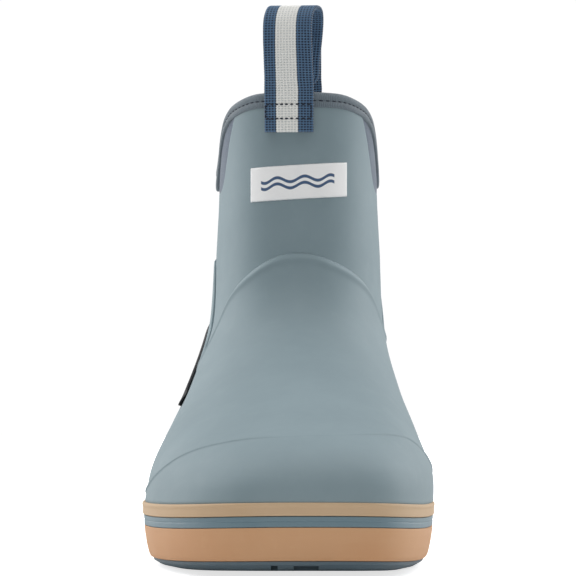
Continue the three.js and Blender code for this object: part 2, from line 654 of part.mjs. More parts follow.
// The half of a loop that is free to move, above the collar. Its ends stand on both
// sides of the collar, astride the line that it folds about.
function freeLoop(name, angle, top, slip) {
  const up = new THREE.Vector3(0, 0, 1);
  const near = surface(angle, top - 3, (LEG_OUT + LEG_IN) / 2);
  const away = surface(angle, top - 3, 0).sub(near).setZ(0).normalize();
  const along = up.clone().cross(away);
  const reach = (LEG_OUT - LEG_IN) / 2 + GAP + 1.6;
  const half = [[reach, LOOP_START], [reach + 0.6 * LOOP_BELLY, 13], [reach + LOOP_BELLY, 21],
    [reach + 0.4 * LOOP_BELLY, 28.5], [reach - 2.6, LOOP_HEIGHT - 1.9],
    [0, LOOP_HEIGHT - WEB / 2]];
  const whole = [...half, ...half.slice(0, -1).reverse().map(([n, z]) => [-n, z])];
  const path = new THREE.CatmullRomCurve3(whole.map(([n, z]) => new THREE.Vector3(n, 0, z)));
  const widths = [-1, -0.5, 0, 0.5, 1];
  const grid = (out) => widths.map((width) => Array.from({ length: LOOP_STEPS + 1 }, (_, j) => {
    const share = j / LOOP_STEPS;
    const at = path.getPoint(share);
    const run = path.getTangent(share);
    const w = (width * WEB_WIDTH) / 2;
    const hollow = (w ** 2 / LOOP_CURL) * (1 - smooth(0.15, 0.85, at.z / LOOP_HEIGHT));
    const slipped = slip * smooth(0.3, 0.65, share) * (1 - 0.8 * smooth(0.62, 1, share));
    return new THREE.Vector3(near.x, near.y, top + at.z - run.x * out)
      .addScaledVector(along, w + slipped)
      .addScaledVector(away, at.x + run.z * out - hollow);
  }));
  add(name, wall(grid(WEB / 2), grid(-WEB / 2)), webbing);
  return { point: near.setZ(top), axis: along };
}

function addLoop(name, middle, fromAngle, toAngle, top, slip) {
  const leg = (outer) => panel({
    from: fromAngle, to: toAngle, low: top - LEG_DROP, high: top - LEG_TOP,
    outer, inner: outer - WEB, levels: even(2),
  });
  add(`${name}_outer_leg`, leg(LEG_OUT + WEB), webbing);
  add(`${name}_inner_leg`, leg(LEG_IN), webbing);
  const frame = (inset, outer, inner) => manifold(panel({
    from: fromAngle + inset, to: toAngle - inset,
    low: top - LEG_DROP + SEWN_UP + inset / SEWN_TALL,
    high: top - LEG_TOP - GAP - inset / SEWN_TALL,
    outer, inner, levels: even(2),
  }));
  const face = LEG_OUT + WEB + GAP;
  const inside = frame(SEWN_IN + SEWN_WIDE, face + 2 * THREAD, face - THREAD);
  const stitches = frame(SEWN_IN, face + THREAD, face).subtract(inside);
  add(`${name}_stitching`, geometryOf(stitches), threadFinish);
  return freeLoop(name, middle, top, slip);
}
const half = WEB_WIDTH / 2;
const frontAngle = (x) => angleAt(x, COLLAR_FRONT - 8, -80, 80);
const rearAngle = angleAt(MIDDLE_HEEL + half, COLLAR_BACK - 8, 100, 180);
const frontLoop = addLoop('front_loop', frontAngle(FRONT_LOOP_X), frontAngle(FRONT_LOOP_X - half),
  frontAngle(FRONT_LOOP_X + half), COLLAR_FRONT, FRONT_LOOP_SLIP);
const rearLoop = addLoop('rear_loop', 180, rearAngle, 360 - rearAngle, COLLAR_BACK, 0);

// ---------------------------------------------------------------- footbed
const BED_OUT = -TUCK + LINER_IN - STIFFENER - 4 * GAP;
add('footbed_foam', plate(BED_OUT, BED_FROM, BED_FROM + FOOTBED), foam);
add('footbed_cloth', plate(BED_OUT, BED_FROM + FOOTBED + GAP,
  BED_FROM + FOOTBED + GAP + FOOTBED_CLOTH), footbedCloth);

// The lines that the loops fold about, for whoever rigs the boot.
boot.userData.hinges = { front_loop: frontLoop, rear_loop: rearLoop };

export default boot;
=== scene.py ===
"""Ankle-height pull-on deck boot, right foot.

Sizes are in millimetres until a mesh is laid up. The toe points along -Y, the inner
side of the foot is +X, and the ground is at height 0. Every piece of the upper is a
layer at its own distance from one smooth surface, the outer face of the rubber.
"""

import math

import bmesh
import bpy
import numpy as np
from mathutils import Matrix, Vector


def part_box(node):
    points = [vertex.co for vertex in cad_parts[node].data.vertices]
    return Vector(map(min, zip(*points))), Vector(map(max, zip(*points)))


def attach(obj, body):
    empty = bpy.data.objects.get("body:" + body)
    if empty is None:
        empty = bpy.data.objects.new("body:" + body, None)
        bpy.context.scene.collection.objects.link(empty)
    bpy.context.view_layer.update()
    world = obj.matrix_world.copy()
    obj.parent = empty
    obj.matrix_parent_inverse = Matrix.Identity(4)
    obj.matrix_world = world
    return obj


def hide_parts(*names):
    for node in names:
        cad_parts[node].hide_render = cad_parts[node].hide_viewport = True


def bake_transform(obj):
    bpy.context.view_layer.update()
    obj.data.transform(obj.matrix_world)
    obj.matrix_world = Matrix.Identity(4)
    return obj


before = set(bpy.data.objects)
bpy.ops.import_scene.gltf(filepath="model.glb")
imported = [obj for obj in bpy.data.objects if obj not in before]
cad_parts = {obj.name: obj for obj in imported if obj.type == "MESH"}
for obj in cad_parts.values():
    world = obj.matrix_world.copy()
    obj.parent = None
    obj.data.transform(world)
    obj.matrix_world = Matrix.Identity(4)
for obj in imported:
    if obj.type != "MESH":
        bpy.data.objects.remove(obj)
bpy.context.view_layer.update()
MM = 0.001

# ------------------------------------------------------------------ sizes from the frame
def low_of(node):
    """Lowest corner of a node, in millimetres."""
    return np.array(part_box(node)[0]) / MM


def high_of(node):
    """Highest corner of a node, in millimetres."""
    return np.array(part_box(node)[1]) / MM


OUTSOLE_TOP = low_of("lower_foxing")[2] - 0.3
LOW_FROM = low_of("lower_foxing")[2]
STRIPE_FROM = low_of("stripe_band")[2]
TOP_FROM = low_of("top_foxing")[2]
SHELL_FROM = low_of("rear_upper")[2]
LINER_FROM = low_of("neoprene_liner")[2]
BED_FROM = low_of("footbed_foam")[2]
CLOTH_FROM = low_of("footbed_cloth")[2]
COLLAR_FRONT = high_of("collar_binding")[2]
COLLAR_BACK = COLLAR_FRONT - 1.0
TOP_TO = TOP_FROM + 4.1
LABEL_MIDDLE = (low_of("front_label")[2] + high_of("front_label")[2]) / 2

# ------------------------------------------------------------------ driving sizes
RUBBER = 2.0            # wall of the upper
LINER = 2.6             # neoprene lining
OVERLAY = 0.8           # rubber laid over the upper
FEATHERED = 1.6         # width over which an overlay's edge thins out
END_SHARE = 0.22        # an overlay's ends thin out over this share as steeply
LIE = 0.05              # how far a layer lies off the one below it
LINER_GAP = 0.3         # between the rubber and the lining
BED_GAP = 2.4           # between the lining and the rim of the footbed
BED_FOAM = 3.2
BED_CLOTH = 0.7
TUCK = 3.0              # the upper steps in behind the foxing by this
FEATHER = 24.0          # height where the upper meets the sole
TOE_SPRING = 5.0
SPRING_START = -40.0
WEB_WIDTH = 20.0
WEB = 1.6
WEB_ROW = 1.06          # pitch of the weave along the strap
WEB_COLUMN = 1.22       # and across it
THREAD = 0.5            # thread of the collar
STITCH = 3.1            # pitch of its stitches
STITCH_LONG = 2.2
BOX_THREAD = 0.7        # heavier thread that sews the straps on
BOX_STITCH_LONG = 1.7
STITCH_PROUD = 0.12     # how far a stitch's middle lies above what it sews
RING_LINES = 180        # lines on each side of the boot
SEAM = 99.0             # side seams, as an angle round the section


# ------------------------------------------------------------------ smooth curves
def smooth(start, end, at):
    """0 before start, 1 after end, and an even ease between."""
    t = np.clip((np.asarray(at, float) - start) / (end - start), 0, 1)
    return t * t * (3 - 2 * t)


def mix(a, b, t):
    return a + (b - a) * t


def curve(pairs, ease=0.0):
    """A smooth curve through [position, value] pairs that never overshoots them.
    ease rounds it off over about that distance."""
    xs, ys = np.array(pairs, float).T
    steps = np.diff(ys) / np.diff(xs)
    slopes = np.zeros(len(xs))
    slopes[0], slopes[-1] = steps[0], steps[-1]
    for i in range(1, len(xs) - 1):
        before, after = steps[i - 1], steps[i]
        slopes[i] = 0 if before * after <= 0 else 2 * before * after / (before + after)

    def through(at):
        at = np.clip(np.asarray(at, float), xs[0], xs[-1])
        i = np.clip(np.searchsorted(xs, at) - 1, 0, len(xs) - 2)
        wide = xs[i + 1] - xs[i]
        t = (at - xs[i]) / wide
        return ((2 * t**3 - 3 * t**2 + 1) * ys[i] + (t**3 - 2 * t**2 + t) * slopes[i] * wide
                + (3 * t**2 - 2 * t**3) * ys[i + 1] + (t**3 - t**2) * slopes[i + 1] * wide)

    if not ease:
        return through
    fine = np.arange(xs[0], xs[-1] + 0.125, 0.25)
    reach = int(12 * ease)
    weights = np.exp(-0.5 * (np.arange(-reach, reach + 1) * 0.25 / ease) ** 2)
    values = through(fine)
    before = 2 * values[0] - values[reach:0:-1]
    after = 2 * values[-1] - values[-2:-reach - 2:-1]
    eased = np.convolve(np.r_[before, values, after], weights / weights.sum(), "valid")
    return lambda at: np.interp(at, fine, eased)


# ------------------------------------------------------------------ boot surface
EASE = 1.6
front = curve([[24, -148.6], [30, -148.2], [36, -145.5], [42, -139], [47, -128.5],
               [51, -115], [56, -97], [62, -77], [69, -55], [77, -34], [86, -15.5],
               [96, -1.5], [107, 7], [120, 12], [137, 14.8], [160, 16], [187, 15.5]], EASE)
back = curve([[24, 147.6], [35, 148.6], [48, 147.6], [62, 144.6], [80, 140.4],
              [100, 137.2], [120, 136], [145, 137.4], [187, 140.5]], 3)
BALL, WAIST, HEEL = 66.0, 100.0, 138.0
ball_half = curve([[24, 54.2], [34, 53.4], [42, 51], [48, 48.4], [55, 45.6], [62, 42.4],
                   [70, 39.6], [80, 36.2], [88, 34], [95, 32.8], [107, 31.8], [120, 31.4],
                   [146, 30.6], [187, 31.2]], 2.4)
waist_half = curve([[24, 43], [40, 40.6], [60, 38.2], [80, 36.6], [95, 35.4], [107, 34.8],
                    [120, 34.3], [137, 33.4], [146, 33], [160, 33.2], [187, 33.8]], 3)
heel_half = curve([[24, 38], [45, 37.4], [62, 34.8], [80, 30.8], [95, 28.2], [120, 25.8],
                   [146, 24.8], [187, 25]], 3)
arch_share = curve([[24, 3.2], [45, 2], [70, 0]])
toe_boxy = curve([[24, 2.75], [50, 2.7], [75, 2.35], [110, 2.2]], 3)
toe_sloping = curve([[24, 2.35], [50, 2.0], [75, 2.15], [110, 2.2]], 3)
heel_round = curve([[24, 2.8], [60, 2.6], [100, 2.3], [120, 2.2]], 3)
middle_toe = curve([[24, 7], [50, 8], [75, 5], [110, 4.3]], 3)
middle_ball = curve([[24, 0.3], [34, 1.2], [48, 1.7], [62, 2.4], [80, 3], [95, 3.9],
                     [120, 4.3]], 3)
MIDDLE_HEEL = 4.2


def wrap(angle):
    return np.mod(np.asarray(angle, float) + 180, 360) - 180


def roundness(angle, power):
    """One side of a superellipse: 0 on the centre line, 1 at a quarter turn."""
    return np.maximum(0, 1 - np.abs(np.cos(np.radians(angle))) ** power) ** (1 / power)


def section(angle, height):
    """Point of the level section: 0 at the toe, 180 at the heel, outer side negative."""
    turned = wrap(angle)
    turn = np.abs(turned)
    side = np.where(turned < 0, -1, 1)
    z = np.maximum(height, FEATHER)
    toe_power = np.where(side > 0, toe_boxy(z), toe_sloping(z))
    power = mix(toe_power, heel_round(z), smooth(70, 110, turn))
    at_ball = ball_half(z) / roundness(BALL, toe_power)
    at_waist = (waist_half(z) - side * arch_share(z)) / roundness(WAIST, heel_round(z))
    at_heel = heel_half(z) / roundness(HEEL, heel_round(z))
    half = np.where(turn < WAIST, mix(at_ball, at_waist, smooth(BALL, WAIST, turn)),
                    mix(at_waist, at_heel, smooth(WAIST, HEEL, turn)))
    to_middle = mix(middle_toe(z), middle_ball(z), smooth(0, BALL, turn))
    middle = mix(to_middle, MIDDLE_HEEL, smooth(BALL, HEEL, turn))
    centre, reach = (front(z) + back(z)) / 2, (back(z) - front(z)) / 2
    return (middle + side * half * roundness(turn, power),
            centre - reach * np.cos(np.radians(turn)))


def outward(angle):
    """Outward direction of the sole outline, in plan."""
    x1, y1 = section(np.asarray(angle) + 1, FEATHER)
    x0, y0 = section(np.asarray(angle) - 1, FEATHER)
    long = np.hypot(x1 - x0, y1 - y0)
    return (y1 - y0) / long, (x0 - x1) / long


def outline(angle, out):
    x, y = section(angle, FEATHER)
    away_x, away_y = outward(angle)
    return x + away_x * out, y + away_y * out


def lift(y):
    """Rise of the sole towards the toe."""
    return TOE_SPRING * (np.maximum(0, SPRING_START - y) / (SPRING_START + 150)) ** 2


def skin(angle, height):
    x, y = section(angle, height)
    fade = np.clip(1 - (height - FEATHER) / 46, 0, 1)
    return np.stack(np.broadcast_arrays(x, y, height + lift(y) * fade), -1)


def normal_of(angle, height):
    """Outward direction of the rubber's outer face."""
    around = skin(angle + 0.6, height) - skin(angle - 0.6, height)
    up = skin(angle, height + 0.6) - skin(angle, height - 0.6)
    normal = np.cross(around, up)
    return normal / np.linalg.norm(normal, axis=-1, keepdims=True)


def surface(angle, height, out):
    """Point at a distance outside the rubber's outer face."""
    angle, height, out = np.broadcast_arrays(*map(lambda v: np.asarray(v, float),
                                                  (angle, height, out)))
    tuck = TUCK * (smooth(FEATHER - 3.5, FEATHER + 1.5, height) - 1)
    away_x, away_y = outward(angle)
    inward = np.stack([away_x * tuck, away_y * tuck, np.zeros_like(tuck)], -1)
    return skin(angle, height) + inward + normal_of(angle, height) * out[..., None]


# ------------------------------------------------------------------ lines round the boot
def even_angles(start, end, count):
    """Angles from start to end, evenly spaced along the sole outline."""
    fine = np.linspace(start, end, 4000)
    x, y = section(fine, 60)
    run = np.r_[0, np.cumsum(np.hypot(np.diff(x), np.diff(y)))]
    return np.interp(np.linspace(0, run[-1], count), run, fine)


ONE_SIDE = even_angles(0, 180, RING_LINES + 1)
RING = np.r_[-ONE_SIDE[:0:-1], ONE_SIDE[:-1]]


def even_heights(angles, low, high, count):
    """Heights on each line from low to high, evenly spaced along the surface."""
    low, high = np.broadcast_to(low, angles.shape), np.broadcast_to(high, angles.shape)
    fine = low[:, None] + (high - low)[:, None] * np.linspace(0, 1, 240)
    points = skin(angles[:, None], fine)
    run = np.cumsum(np.linalg.norm(np.diff(points, axis=1), axis=-1), axis=1)
    run = np.c_[np.zeros(len(run)), run]
    shares = np.linspace(0, 1, count)
    return np.array([np.interp(shares * r[-1], r, f) for r, f in zip(run, fine)])


# ------------------------------------------------------------------ meshes
def lay_up(name, points, ring=False, closed=False, across=None):
    """A mesh laid over points[line, row], with a UV map in metres. A ring joins its
    last line to its first, and a closed one its last row to its first."""
    if ring:
        points = np.concatenate([points, points[:1]], 0)
    if closed:
        points = np.concatenate([points, points[:, :1]], 1)
    lines, rows = points.shape[:2]
    middle_row, middle_line = rows // 3, lines // 2
    if across is None:
        gaps = np.linalg.norm(np.diff(points[:, middle_row], axis=0), axis=-1)
        across = np.r_[0, np.cumsum(gaps)]
    climb = np.linalg.norm(np.diff(points[middle_line], axis=0), axis=-1)
    along = np.r_[0, np.cumsum(climb)]

    bm = bmesh.new()
    bmesh.ops.create_grid(bm, x_segments=rows - 1, y_segments=lines - 1, size=1)
    mesh = bpy.data.meshes.new(name)
    bm.to_mesh(mesh)
    bm.free()
    flat = np.empty(len(mesh.vertices) * 3)
    mesh.vertices.foreach_get("co", flat)
    flat = flat.reshape(-1, 3)
    row = np.rint((flat[:, 0] + 1) / 2 * (rows - 1)).astype(int)
    line = np.rint((flat[:, 1] + 1) / 2 * (lines - 1)).astype(int)
    mesh.vertices.foreach_set("co", (points[line, row] * MM).ravel())
    corner = np.empty(len(mesh.loops), int)
    mesh.loops.foreach_get("vertex_index", corner)
    uv = np.stack([across[line[corner]], along[row[corner]]], -1) * MM
    mesh.uv_layers.new(name="UVMap").data.foreach_set("uv", uv.ravel())
    return close_up(name, mesh)


def close_up(name, mesh):
    """Merges meeting edges, fills open ends, turns faces outward and shades smooth."""
    bm = bmesh.new()
    bm.from_mesh(mesh)
    bmesh.ops.remove_doubles(bm, verts=bm.verts[:], dist=2e-6)
    bmesh.ops.dissolve_degenerate(bm, edges=bm.edges[:], dist=1e-7)
    open_edges = [e for e in bm.edges if e.is_boundary]
    if open_edges:
        bmesh.ops.holes_fill(bm, edges=open_edges, sides=0)
    bmesh.ops.recalc_face_normals(bm, faces=bm.faces[:])
    for face in bm.faces:
        face.smooth = True
    bm.to_mesh(mesh)
    bm.free()
    piece = bpy.data.objects.new(name, mesh)
    bpy.context.scene.collection.objects.link(piece)
    return piece


def rounded_end(first, last, beyond, count=5):
    """Rows of a half round from one face of a wall to the other."""
    centre, half = (first + last) / 2, (first - last) / 2
    way = beyond / np.linalg.norm(beyond, axis=-1, keepdims=True)
    size = np.linalg.norm(half, axis=-1, keepdims=True)
    turns = np.linspace(0, math.pi, count + 2)[1:-1]
    return np.stack([centre + half * math.cos(t) + way * size * math.sin(t)
                     for t in turns], 1)


def with_ends(points, last):
    """Adds a line at each end of a wall, midway between its faces, which closes the end.
    The row that faces row k is last - k."""
    rows = points.shape[1]
    middle = (points + points[:, (last - np.arange(rows)) % rows]) / 2
    return np.concatenate([middle[:1], points, middle[-1:]], 0)


def wall(name, angles, heights, outer, inner, ring=False, floor=False):
    """A wall between two distances from the surface, with rounded edges."""
    face = surface(angles[:, None], heights, outer)
    lining = surface(angles[:, None], heights, inner)[:, ::-1]
    parts = [face, rounded_end(face[:, -1], lining[:, 0], face[:, -1] - face[:, -2]), lining]
    if not floor:
        parts.append(rounded_end(lining[:, -1], face[:, 0], face[:, 0] - face[:, 1]))
    points = np.concatenate(parts, 1)
    if not ring:
        points = with_ends(points, len(face[0]) + len(parts[1][0]) + len(lining[0]) - 1)
    return lay_up(name, points, ring=ring, closed=not floor)


def distance_to_edges(points):
    """Distance of each point of a sheet from its top, its foot and its two ends."""
    climb = np.linalg.norm(np.diff(points, axis=1), axis=-1)
    up = np.concatenate([np.zeros((len(points), 1)), np.cumsum(climb, 1)], 1)
    step = np.linalg.norm(np.diff(points, axis=0), axis=-1)
    along = np.concatenate([np.zeros((1, points.shape[1])), np.cumsum(step, 0)], 0)
    return up[:, -1:] - up, up, np.minimum(along, along[-1:] - along)


def overlay(name, start, end, low, high, lines, rows, base, thick, bead=None, soft=FEATHERED,
            end_share=END_SHARE):
    """A sheet laid over the upper whose top and ends thin out to nothing over the width
    soft. A bead is a (height, width, share in front) ridge along its top edge."""
    angles = even_angles(start, end, lines)
    heights = even_heights(angles, low(angles), high(angles), rows)
    flat = surface(angles[:, None], heights, 0)
    from_top, _, from_end = distance_to_edges(flat)
    edge = np.minimum(from_top, from_end * end_share)
    body = thick * np.sqrt(smooth(0, soft, edge))
    if bead:
        tall, wide, in_front = bead
        share = mix(in_front, 1.0, smooth(6, 30, np.abs(angles)))[:, None]
        body = body + tall * share * np.exp(-((from_top - wide) / (wide * 0.55)) ** 2) \
            * smooth(0, 0.5, edge)
    face = surface(angles[:, None], heights, base + LIE + body)
    under = surface(angles[:, None], heights, base + LIE)[:, ::-1]
    return lay_up(name, np.concatenate([face, under], 1), closed=True)


def sweep(name, profile):
    """A band round the sole. Its section is a closed list of (distance out, height)."""
    section_points = rounded_loop(profile, 2)
    out, height = section_points[:, 0], section_points[:, 1]
    x, y = outline(RING[:, None], out[None, :])
    return lay_up(name, np.stack([x, y, height + lift(y)], -1), ring=True, closed=True)


def rounded_loop(profile, rounds):
    """A closed profile with its corners cut off, which each round does more finely."""
    points = np.array(profile, float)
    for _ in range(rounds):
        after = np.roll(points, -1, axis=0)
        points = np.stack([points * 0.75 + after * 0.25,
                           points * 0.25 + after * 0.75], 1).reshape(-1, 2)
    return points


def dense(profile, most):
    """The closed profile with points added so that none are further apart than most."""
    made = []
    for a, b in zip(profile, profile[1:] + profile[:1]):
        a, b = np.array(a, float), np.array(b, float)
        count = max(1, int(np.linalg.norm(b - a) / most))
        made += [tuple(a + (b - a) * i / count) for i in range(count)]
    return made


# ------------------------------------------------------------------ node helpers
class Nodes:
    """Adds nodes to a tree and joins them up."""

    def __init__(self, tree):
        self.tree = tree

    def add(self, kind, **values):
        node = self.tree.nodes.new(kind)
        for key, value in values.items():
            setattr(node, key, value)
        return node

    def join(self, source, target):
        self.tree.links.new(source, target)

    def feed(self, socket, value):
        if isinstance(value, bpy.types.NodeSocket):
            self.join(value, socket)
        else:
            socket.default_value = value

    def math(self, operation, a, b=0.0, clamp=False):
        node = self.add("ShaderNodeMath", operation=operation, use_clamp=clamp)
        self.feed(node.inputs[0], a)
        self.feed(node.inputs[1], b)
        return node.outputs[0]

    def noise(self, vector, scale, detail=3.0, rough=0.55):
        node = self.add("ShaderNodeTexNoise")
        self.join(vector, node.inputs["Vector"])
        self.feed(node.inputs["Scale"], scale)
        node.inputs["Detail"].default_value = detail
        node.inputs["Roughness"].default_value = rough
        return node.outputs["Fac"]

    def blend(self, factor, a, b):
        node = self.add("ShaderNodeMix", data_type="RGBA")
        self.feed(node.inputs["Factor"], factor)
        self.feed(node.inputs["A"], a)
        self.feed(node.inputs["B"], b)
        return next(s for s in node.outputs if s.type == "RGBA")

    def span(self, value, low, high, to_low=0.0, to_high=1.0):
        node = self.add("ShaderNodeMapRange", interpolation_type="SMOOTHSTEP")
        self.feed(node.inputs["Value"], value)
        for name, number in (("From Min", low), ("From Max", high),
                             ("To Min", to_low), ("To Max", to_high)):
            self.feed(node.inputs[name], number)
        return node.outputs["Result"]


def group(name, inputs, outputs):
    """A shader node group with named inputs and outputs."""
    tree = bpy.data.node_groups.new(name, "ShaderNodeTree")
    for label, kind, value in inputs:
        socket = tree.interface.new_socket(label, in_out="INPUT", socket_type=kind)
        if value is not None:
            socket.default_value = value
    for label, kind in outputs:
        tree.interface.new_socket(label, in_out="OUTPUT", socket_type=kind)
    nodes = Nodes(tree)
    return tree, nodes, nodes.add("NodeGroupInput"), nodes.add("NodeGroupOutput")


FLOAT, COLOR, VECTOR = "NodeSocketFloat", "NodeSocketColor", "NodeSocketVector"


def srgb(red, green, blue):
    """A colour from its three everyday 0 to 255 values."""
    def linear(c):
        c /= 255
        return c / 12.92 if c <= 0.04045 else ((c + 0.055) / 1.055) ** 2.4
    return (linear(red), linear(green), linear(blue), 1.0)


def moulded_group():
    """Moulded rubber: cloudy colour, fine grain, bloom in soft patches and scuffs."""
    tree, n, given, made = group(
        "moulded_rubber",
        [("Position", VECTOR, None), ("Colour", COLOR, (0.5, 0.5, 0.5, 1)),
         ("Bloom Colour", COLOR, (0.7, 0.7, 0.7, 1)), ("Cloudiness", FLOAT, 0.1),
         ("Grain Scale", FLOAT, 2200.0), ("Base Roughness", FLOAT, 0.55),
         ("Scuffs", FLOAT, 0.1)],
        [("Colour", COLOR), ("Roughness", FLOAT), ("Height", FLOAT)])
    at = given.outputs["Position"]
    clouds = n.noise(at, 22.0, 3.0)
    flecks = n.noise(at, 160.0, 4.0, 0.65)
    grain = n.noise(at, given.outputs["Grain Scale"], 2.0)
    stretch = n.add("ShaderNodeMapping")
    stretch.inputs["Scale"].default_value = (30.0, 30.0, 240.0)
    stretch.inputs["Rotation"].default_value = (0.4, 0.7, 0.0)
    n.join(at, stretch.inputs["Vector"])
    scratches = n.span(n.noise(stretch.outputs[0], 1.0, 4.0), 0.62, 0.7)
    cloud_share = n.math("MULTIPLY", n.span(clouds, 0.38, 0.68), given.outputs["Cloudiness"])
    fleck_share = n.math("MULTIPLY", n.span(flecks, 0.5, 0.75),
                         n.math("MULTIPLY", given.outputs["Cloudiness"], 0.5))
    scuffed = n.math("MULTIPLY", scratches, given.outputs["Scuffs"])
    share = n.math("ADD", n.math("ADD", cloud_share, fleck_share), scuffed, clamp=True)
    n.join(n.blend(share, given.outputs["Colour"], given.outputs["Bloom Colour"]),
           made.inputs["Colour"])
    rough = n.math("ADD", given.outputs["Base Roughness"],
                   n.math("MULTIPLY", n.math("SUBTRACT", flecks, 0.5), 0.22))
    n.join(n.math("ADD", rough, n.math("MULTIPLY", scuffed, 0.3), clamp=True),
           made.inputs["Roughness"])
    n.join(n.math("ADD", grain, n.math("MULTIPLY", flecks, 0.35)), made.inputs["Height"])
    return tree


def woven_group():
    """Crossing yarns on a UV map in metres: how deep a point lies, as a mask for painted shade in
    the valleys between yarns, and yarn shading.
    """
    tree, n, given, made = group(
        "woven_yarns",
        [("UV", VECTOR, None), ("Column", FLOAT, 0.0012), ("Row", FLOAT, 0.001),
         ("Offset", FLOAT, 0.5)],
        [("Valley Shade", FLOAT), ("Height", FLOAT), ("Yarn", FLOAT)])
    parts = n.add("ShaderNodeSeparateXYZ")
    n.join(given.outputs["UV"], parts.inputs[0])
    column = n.math("DIVIDE", parts.outputs[0], given.outputs["Column"])
    which = n.math("FLOOR", column)
    shifted = n.math("MULTIPLY", n.math("MODULO", which, 2.0), given.outputs["Offset"])
    row = n.math("ADD", n.math("DIVIDE", parts.outputs[1], given.outputs["Row"]), shifted)
    wave_u = n.math("ABSOLUTE", n.math("SINE", n.math("MULTIPLY", column, math.pi)))
    wave_v = n.math("ABSOLUTE", n.math("SINE", n.math("MULTIPLY", row, math.pi)))
    open_u = n.math("SUBTRACT", 1.0, n.math("MULTIPLY", n.math("POWER", wave_u, 1.6), 0.85))
    open_v = n.math("SUBTRACT", 1.0, n.math("POWER", wave_v, 1.6))
    gap = n.math("MULTIPLY", open_u, open_v)
    n.join(n.math("SUBTRACT", 1.0, gap), made.inputs["Height"])
    # Valley Shade is 1 in the gaps between yarns; the finishes darken their colour there, which
    # is painted shade.
    n.join(n.span(gap, 0.10, 0.42), made.inputs["Valley Shade"])
    fibres = n.math("SINE", n.math("MULTIPLY", n.math("ADD", column, row), 6 * math.pi))
    n.join(n.math("MULTIPLY", fibres, 0.15), made.inputs["Yarn"])
    return tree


MOULDED = moulded_group()
WOVEN = woven_group()


def start_material(name):
    material = bpy.data.materials.new(name)
    material.use_nodes = True
    n = Nodes(material.node_tree)
    shader = material.node_tree.nodes["Principled BSDF"]
    return material, n, shader


def bump(n, shader, height, strength, distance):
    node = n.add("ShaderNodeBump")
    node.inputs["Strength"].default_value = strength
    node.inputs["Distance"].default_value = distance
    n.join(height, node.inputs["Height"])
    n.join(node.outputs["Normal"], shader.inputs["Normal"])


def rubber(name, colour, bloom, cloudiness, roughness, scuffs, grain=2200.0, relief=0.10,
           depth=0.00012):
    """A moulded finish, from smooth rubber to open foam by its grain and relief."""
    material, n, shader = start_material(name)
    where = n.add("ShaderNodeTexCoord")
    effect = n.add("ShaderNodeGroup", node_tree=MOULDED)
    n.join(where.outputs["Object"], effect.inputs["Position"])
    for label, value in (("Colour", colour), ("Bloom Colour", bloom),
                         ("Cloudiness", cloudiness), ("Grain Scale", grain),
                         ("Base Roughness", roughness), ("Scuffs", scuffs)):
        effect.inputs[label].default_value = value
    n.join(effect.outputs["Colour"], shader.inputs["Base Color"])
    n.join(effect.outputs["Roughness"], shader.inputs["Roughness"])
    bump(n, shader, effect.outputs["Height"], relief, depth)
    return material


def cloth(name, colour, valley_shade_and_dark_tone, column, row, offset=0.5):
    """Knitted cloth; offset shifts every second column by that share of a row. The second colour
    is painted shade in the yarn valleys and also the tone of darker random patches.
    """
    material, n, shader = start_material(name)
    uv = n.add("ShaderNodeUVMap", uv_map="UVMap")
    where = n.add("ShaderNodeTexCoord")
    weave = n.add("ShaderNodeGroup", node_tree=WOVEN)
    n.join(uv.outputs[0], weave.inputs["UV"])
    weave.inputs["Column"].default_value = column
    weave.inputs["Row"].default_value = row
    weave.inputs["Offset"].default_value = offset
    patches = n.span(n.noise(where.outputs["Object"], 90.0, 3.0), 0.3, 0.7, 0.0, 0.22)
    # painted shade: the colour darkens to the second colour in the valleys between yarns
    valley_shaded_colour = n.blend(weave.outputs["Valley Shade"], colour, valley_shade_and_dark_tone)
    # darker patches of random tone, toward the same second colour
    n.join(n.blend(patches, valley_shaded_colour, valley_shade_and_dark_tone), shader.inputs["Base Color"])
    fuzz = n.noise(where.outputs["Object"], 1500.0, 2.0)
    n.join(n.span(fuzz, 0.2, 0.8, 0.82, 0.96), shader.inputs["Roughness"])
    bump(n, shader, weave.outputs["Height"], 0.5, 0.0002)
    shader.inputs["Sheen Weight"].default_value = 0.25
    shader.inputs["Sheen Roughness"].default_value = 0.5
    return material


def strap_cloth(name, stripe_centre, stripe_half):
    """Two-colour webbing: a pale centre stripe between woven edges, with painted shade in the
    valleys between yarns.
    """
    material, n, shader = start_material(name)
    uv = n.add("ShaderNodeUVMap", uv_map="UVMap")
    parts = n.add("ShaderNodeSeparateXYZ")
    n.join(uv.outputs[0], parts.inputs[0])
    where = n.add("ShaderNodeTexCoord")
    weave = n.add("ShaderNodeGroup", node_tree=WOVEN)
    n.join(uv.outputs[0], weave.inputs["UV"])
    weave.inputs["Column"].default_value = WEB_COLUMN * MM
    weave.inputs["Row"].default_value = WEB_ROW * MM
    weave.inputs["Offset"].default_value = 0.0
    off_centre = n.math("ABSOLUTE", n.math("SUBTRACT", parts.outputs[0], stripe_centre * MM))
    stripe = n.span(off_centre, (stripe_half + 0.12) * MM, (stripe_half - 0.12) * MM)
    fade = n.span(n.noise(where.outputs["Object"], 240.0, 3.0), 0.3, 0.7, 0.0, 0.25)
    # painted shadow: the blue yarn turns nearly black in the valleys between yarns
    blue = n.blend(weave.outputs["Valley Shade"], srgb(84, 117, 150), srgb(6, 14, 32))
    blue = n.blend(fade, blue, srgb(50, 76, 108))
    # painted shade: the pale stripe turns grey in the valleys, at half strength
    pale = n.blend(n.math("MULTIPLY", weave.outputs["Valley Shade"], 0.5), srgb(246, 246, 242),
                   srgb(176, 182, 184))
    n.join(n.blend(stripe, blue, pale), shader.inputs["Base Color"])
    fuzz = n.noise(where.outputs["Object"], 1800.0, 2.0)
    n.join(n.span(fuzz, 0.2, 0.8, 0.72, 0.95), shader.inputs["Roughness"])
    bump(n, shader, n.math("ADD", weave.outputs["Height"], weave.outputs["Yarn"]), 0.6,
         0.0002)
    shader.inputs["Sheen Weight"].default_value = 0.2
    return material


